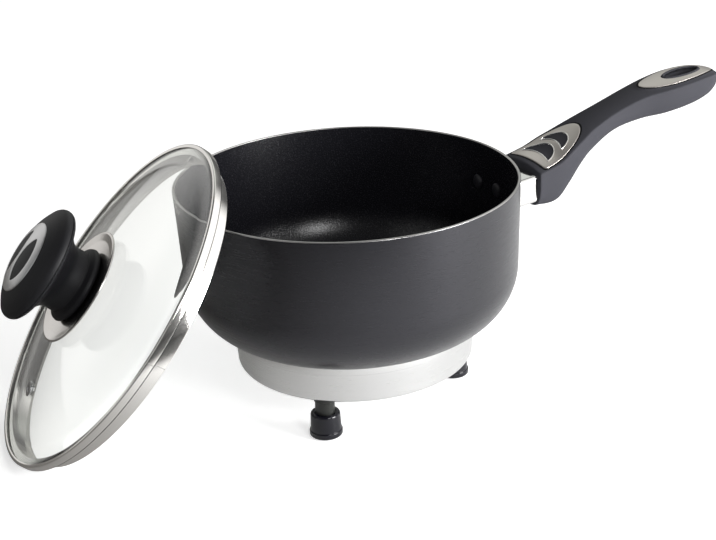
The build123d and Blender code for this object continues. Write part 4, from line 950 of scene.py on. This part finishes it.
def makeFloor():
    # seen directly or through glass the paper is lifted towards white; in metal it glows with painted light
    # to the right, and is painted darker to the left and far back
    mesh = bpy.data.meshes.new("floor")
    corners = [(x * floor["half"], y * floor["half"], floor["height"])
               for x, y in ((-1, -1), (1, -1), (1, 1), (-1, 1))]
    mesh.from_pydata(corners, [], [(0, 1, 2, 3)])
    mesh.materials.append(made["floorPaper"])
    tree = made["floorPaper"].node_tree
    bsdf = tree.nodes["Principled BSDF"]
    rays = addNode(tree, "LightPath", {})
    spot = addNode(tree, "TexCoord", {})["Object"]
    side, near = [ramp(tree, howFar(tree, spot, wayInFrame(row["way"])), row["limits"], (0, 1), True)
                  for row in (floor["across"], floor["back"])]
    glossy = rays["Is Glossy Ray"]
    metal = maths(tree, "MULTIPLY", glossy, maths(tree, "MULTIPLY", side, near))
    through = maths(tree, "MULTIPLY", seenThrough(tree, rays), floor["throughGlass"])
    shown = maths(tree, "MAXIMUM", rays["Is Camera Ray"], through)
    lift = maths(tree, "MAXIMUM", shown, maths(tree, "MULTIPLY", metal, floor["inMetal"]))
    paper = bsdf.inputs["Base Color"].links[0].from_socket
    # painted shade in metal reflections: dimmer paper to the left, near black far back
    paper = blend(tree, maths(tree, "SUBTRACT", glossy, metal), paper, (*floor["paintedShadeInMetal"], 1))
    farMetal = maths(tree, "MULTIPLY", glossy, maths(tree, "SUBTRACT", 1, near))
    paper = blend(tree, farMetal, paper, (*floor["paintedFarShadeInMetal"], 1))
    feed(tree, bsdf, {"Base Color": paper, "Emission Color": (1, 1, 1, 1),
                      "Emission Strength": maths(tree, "MULTIPLY", lift, floor["strength"])})
    piece = addObject("floor", mesh, Matrix())


# Brightness of the room by direction: a plain level, then a wall or panel each way
room = {"plain": 0.12, "walls": [
    {"towards": (1.0, 0.12, 0.50), "limits": (0.69, 0.90), "add": 1.3, "colour": (1.0, 0.995, 0.985)},
    {"towards": (0.10, 0.80, 0.60), "limits": (0.86, 0.97), "add": 0.75, "colour": (0.97, 1.0, 0.95)},
    {"towards": (-0.66, 0.74, 0.12), "limits": (0.88, 0.97), "add": 0.75, "colour": (1.0, 0.985, 0.965)},
    {"towards": (-0.80, -0.35, 0.50), "limits": (0.86, 0.97), "add": 0.60, "colour": (1.0, 1.0, 1.0)},
]}


def makeWorld():
    # white for what the camera sees directly or through glass, the room for all other rays
    world = bpy.data.worlds.new("studio")
    bpy.context.scene.world = world
    world.use_nodes = True
    tree = world.node_tree
    tree.nodes.clear()
    spot = addNode(tree, "TexCoord", {})["Generated"]
    total = (room["plain"],) * 3
    for wall in room["walls"]:
        facing = howFar(tree, spot, wayInFrame(wall["towards"]).normalized())
        soft = ramp(tree, facing, wall["limits"], (0, wall["add"]), True)
        tint = vectorMaths(tree, "SCALE", {0: wall["colour"], "Scale": soft})[0]
        total = vectorMaths(tree, "ADD", {0: tint, 1: total})[0]
    inside = addNode(tree, "Background", {"Color": total})[0]
    white = addNode(tree, "Background", {"Color": (1, 1, 1, 1)})[0]
    rays = addNode(tree, "LightPath", {})
    shown = maths(tree, "MAXIMUM", rays["Is Camera Ray"], seenThrough(tree, rays))
    choose = addNode(tree, "MixShader", {0: shown, 1: inside, 2: white})[0]
    addNode(tree, "OutputWorld", {0: choose})


def makeCamera():
    rise = math.radians(view["rise"])
    back = Vector((0, -math.cos(rise), math.sin(rise)))
    right = Vector((1, 0, 0))
    up = back.cross(right)
    roll = math.radians(view["roll"])
    rolledRight = right * math.cos(roll) + up * math.sin(roll)
    rolledUp = up * math.cos(roll) - right * math.sin(roll)
    turn = Matrix.Rotation(viewTurn, 3, "Z")
    axes = Matrix((turn @ rolledRight, turn @ rolledUp, turn @ back)).transposed().to_4x4()
    spot = Vector((view["side"], 0, view["up"])) + back * view["away"]
    lens = bpy.data.cameras.new("camera")
    lens.sensor_width = view["sensor"]
    lens.lens = view["focal"] * view["sensor"] / view["wide"]
    lens.clip_start = view["clip"]
    place = Matrix.Translation(turnToFrame(*spot)) @ axes
    bpy.context.scene.camera = addObject("camera", lens, place)


lights = {
    "softboxRight": {"at": (1230, -620, 380), "size": (0.6, 0.5), "power": 30},
    "lampFront": {"at": (470, -930, 640), "size": (0.25, 0.25), "power": 4.5},
}
lightAim = (0, 0, 80)


def addLight(name, settings):
    lamp = bpy.data.lights.new(name, "AREA")
    lamp.shape = "RECTANGLE"
    lamp.size, lamp.size_y = settings["size"]
    lamp.energy = settings["power"]
    place = turnToFrame(*settings["at"])
    light = addObject(name, lamp, Matrix.Translation(place))
    light.rotation_euler = (turnToFrame(*lightAim) - place).to_track_quat("-Z", "Y").to_euler()


makeFloor()
makeWorld()
makeCamera()
for name, settings in lights.items():
    addLight(name, settings)
bpy.context.scene.view_settings.view_transform = "Standard"
print("studio")
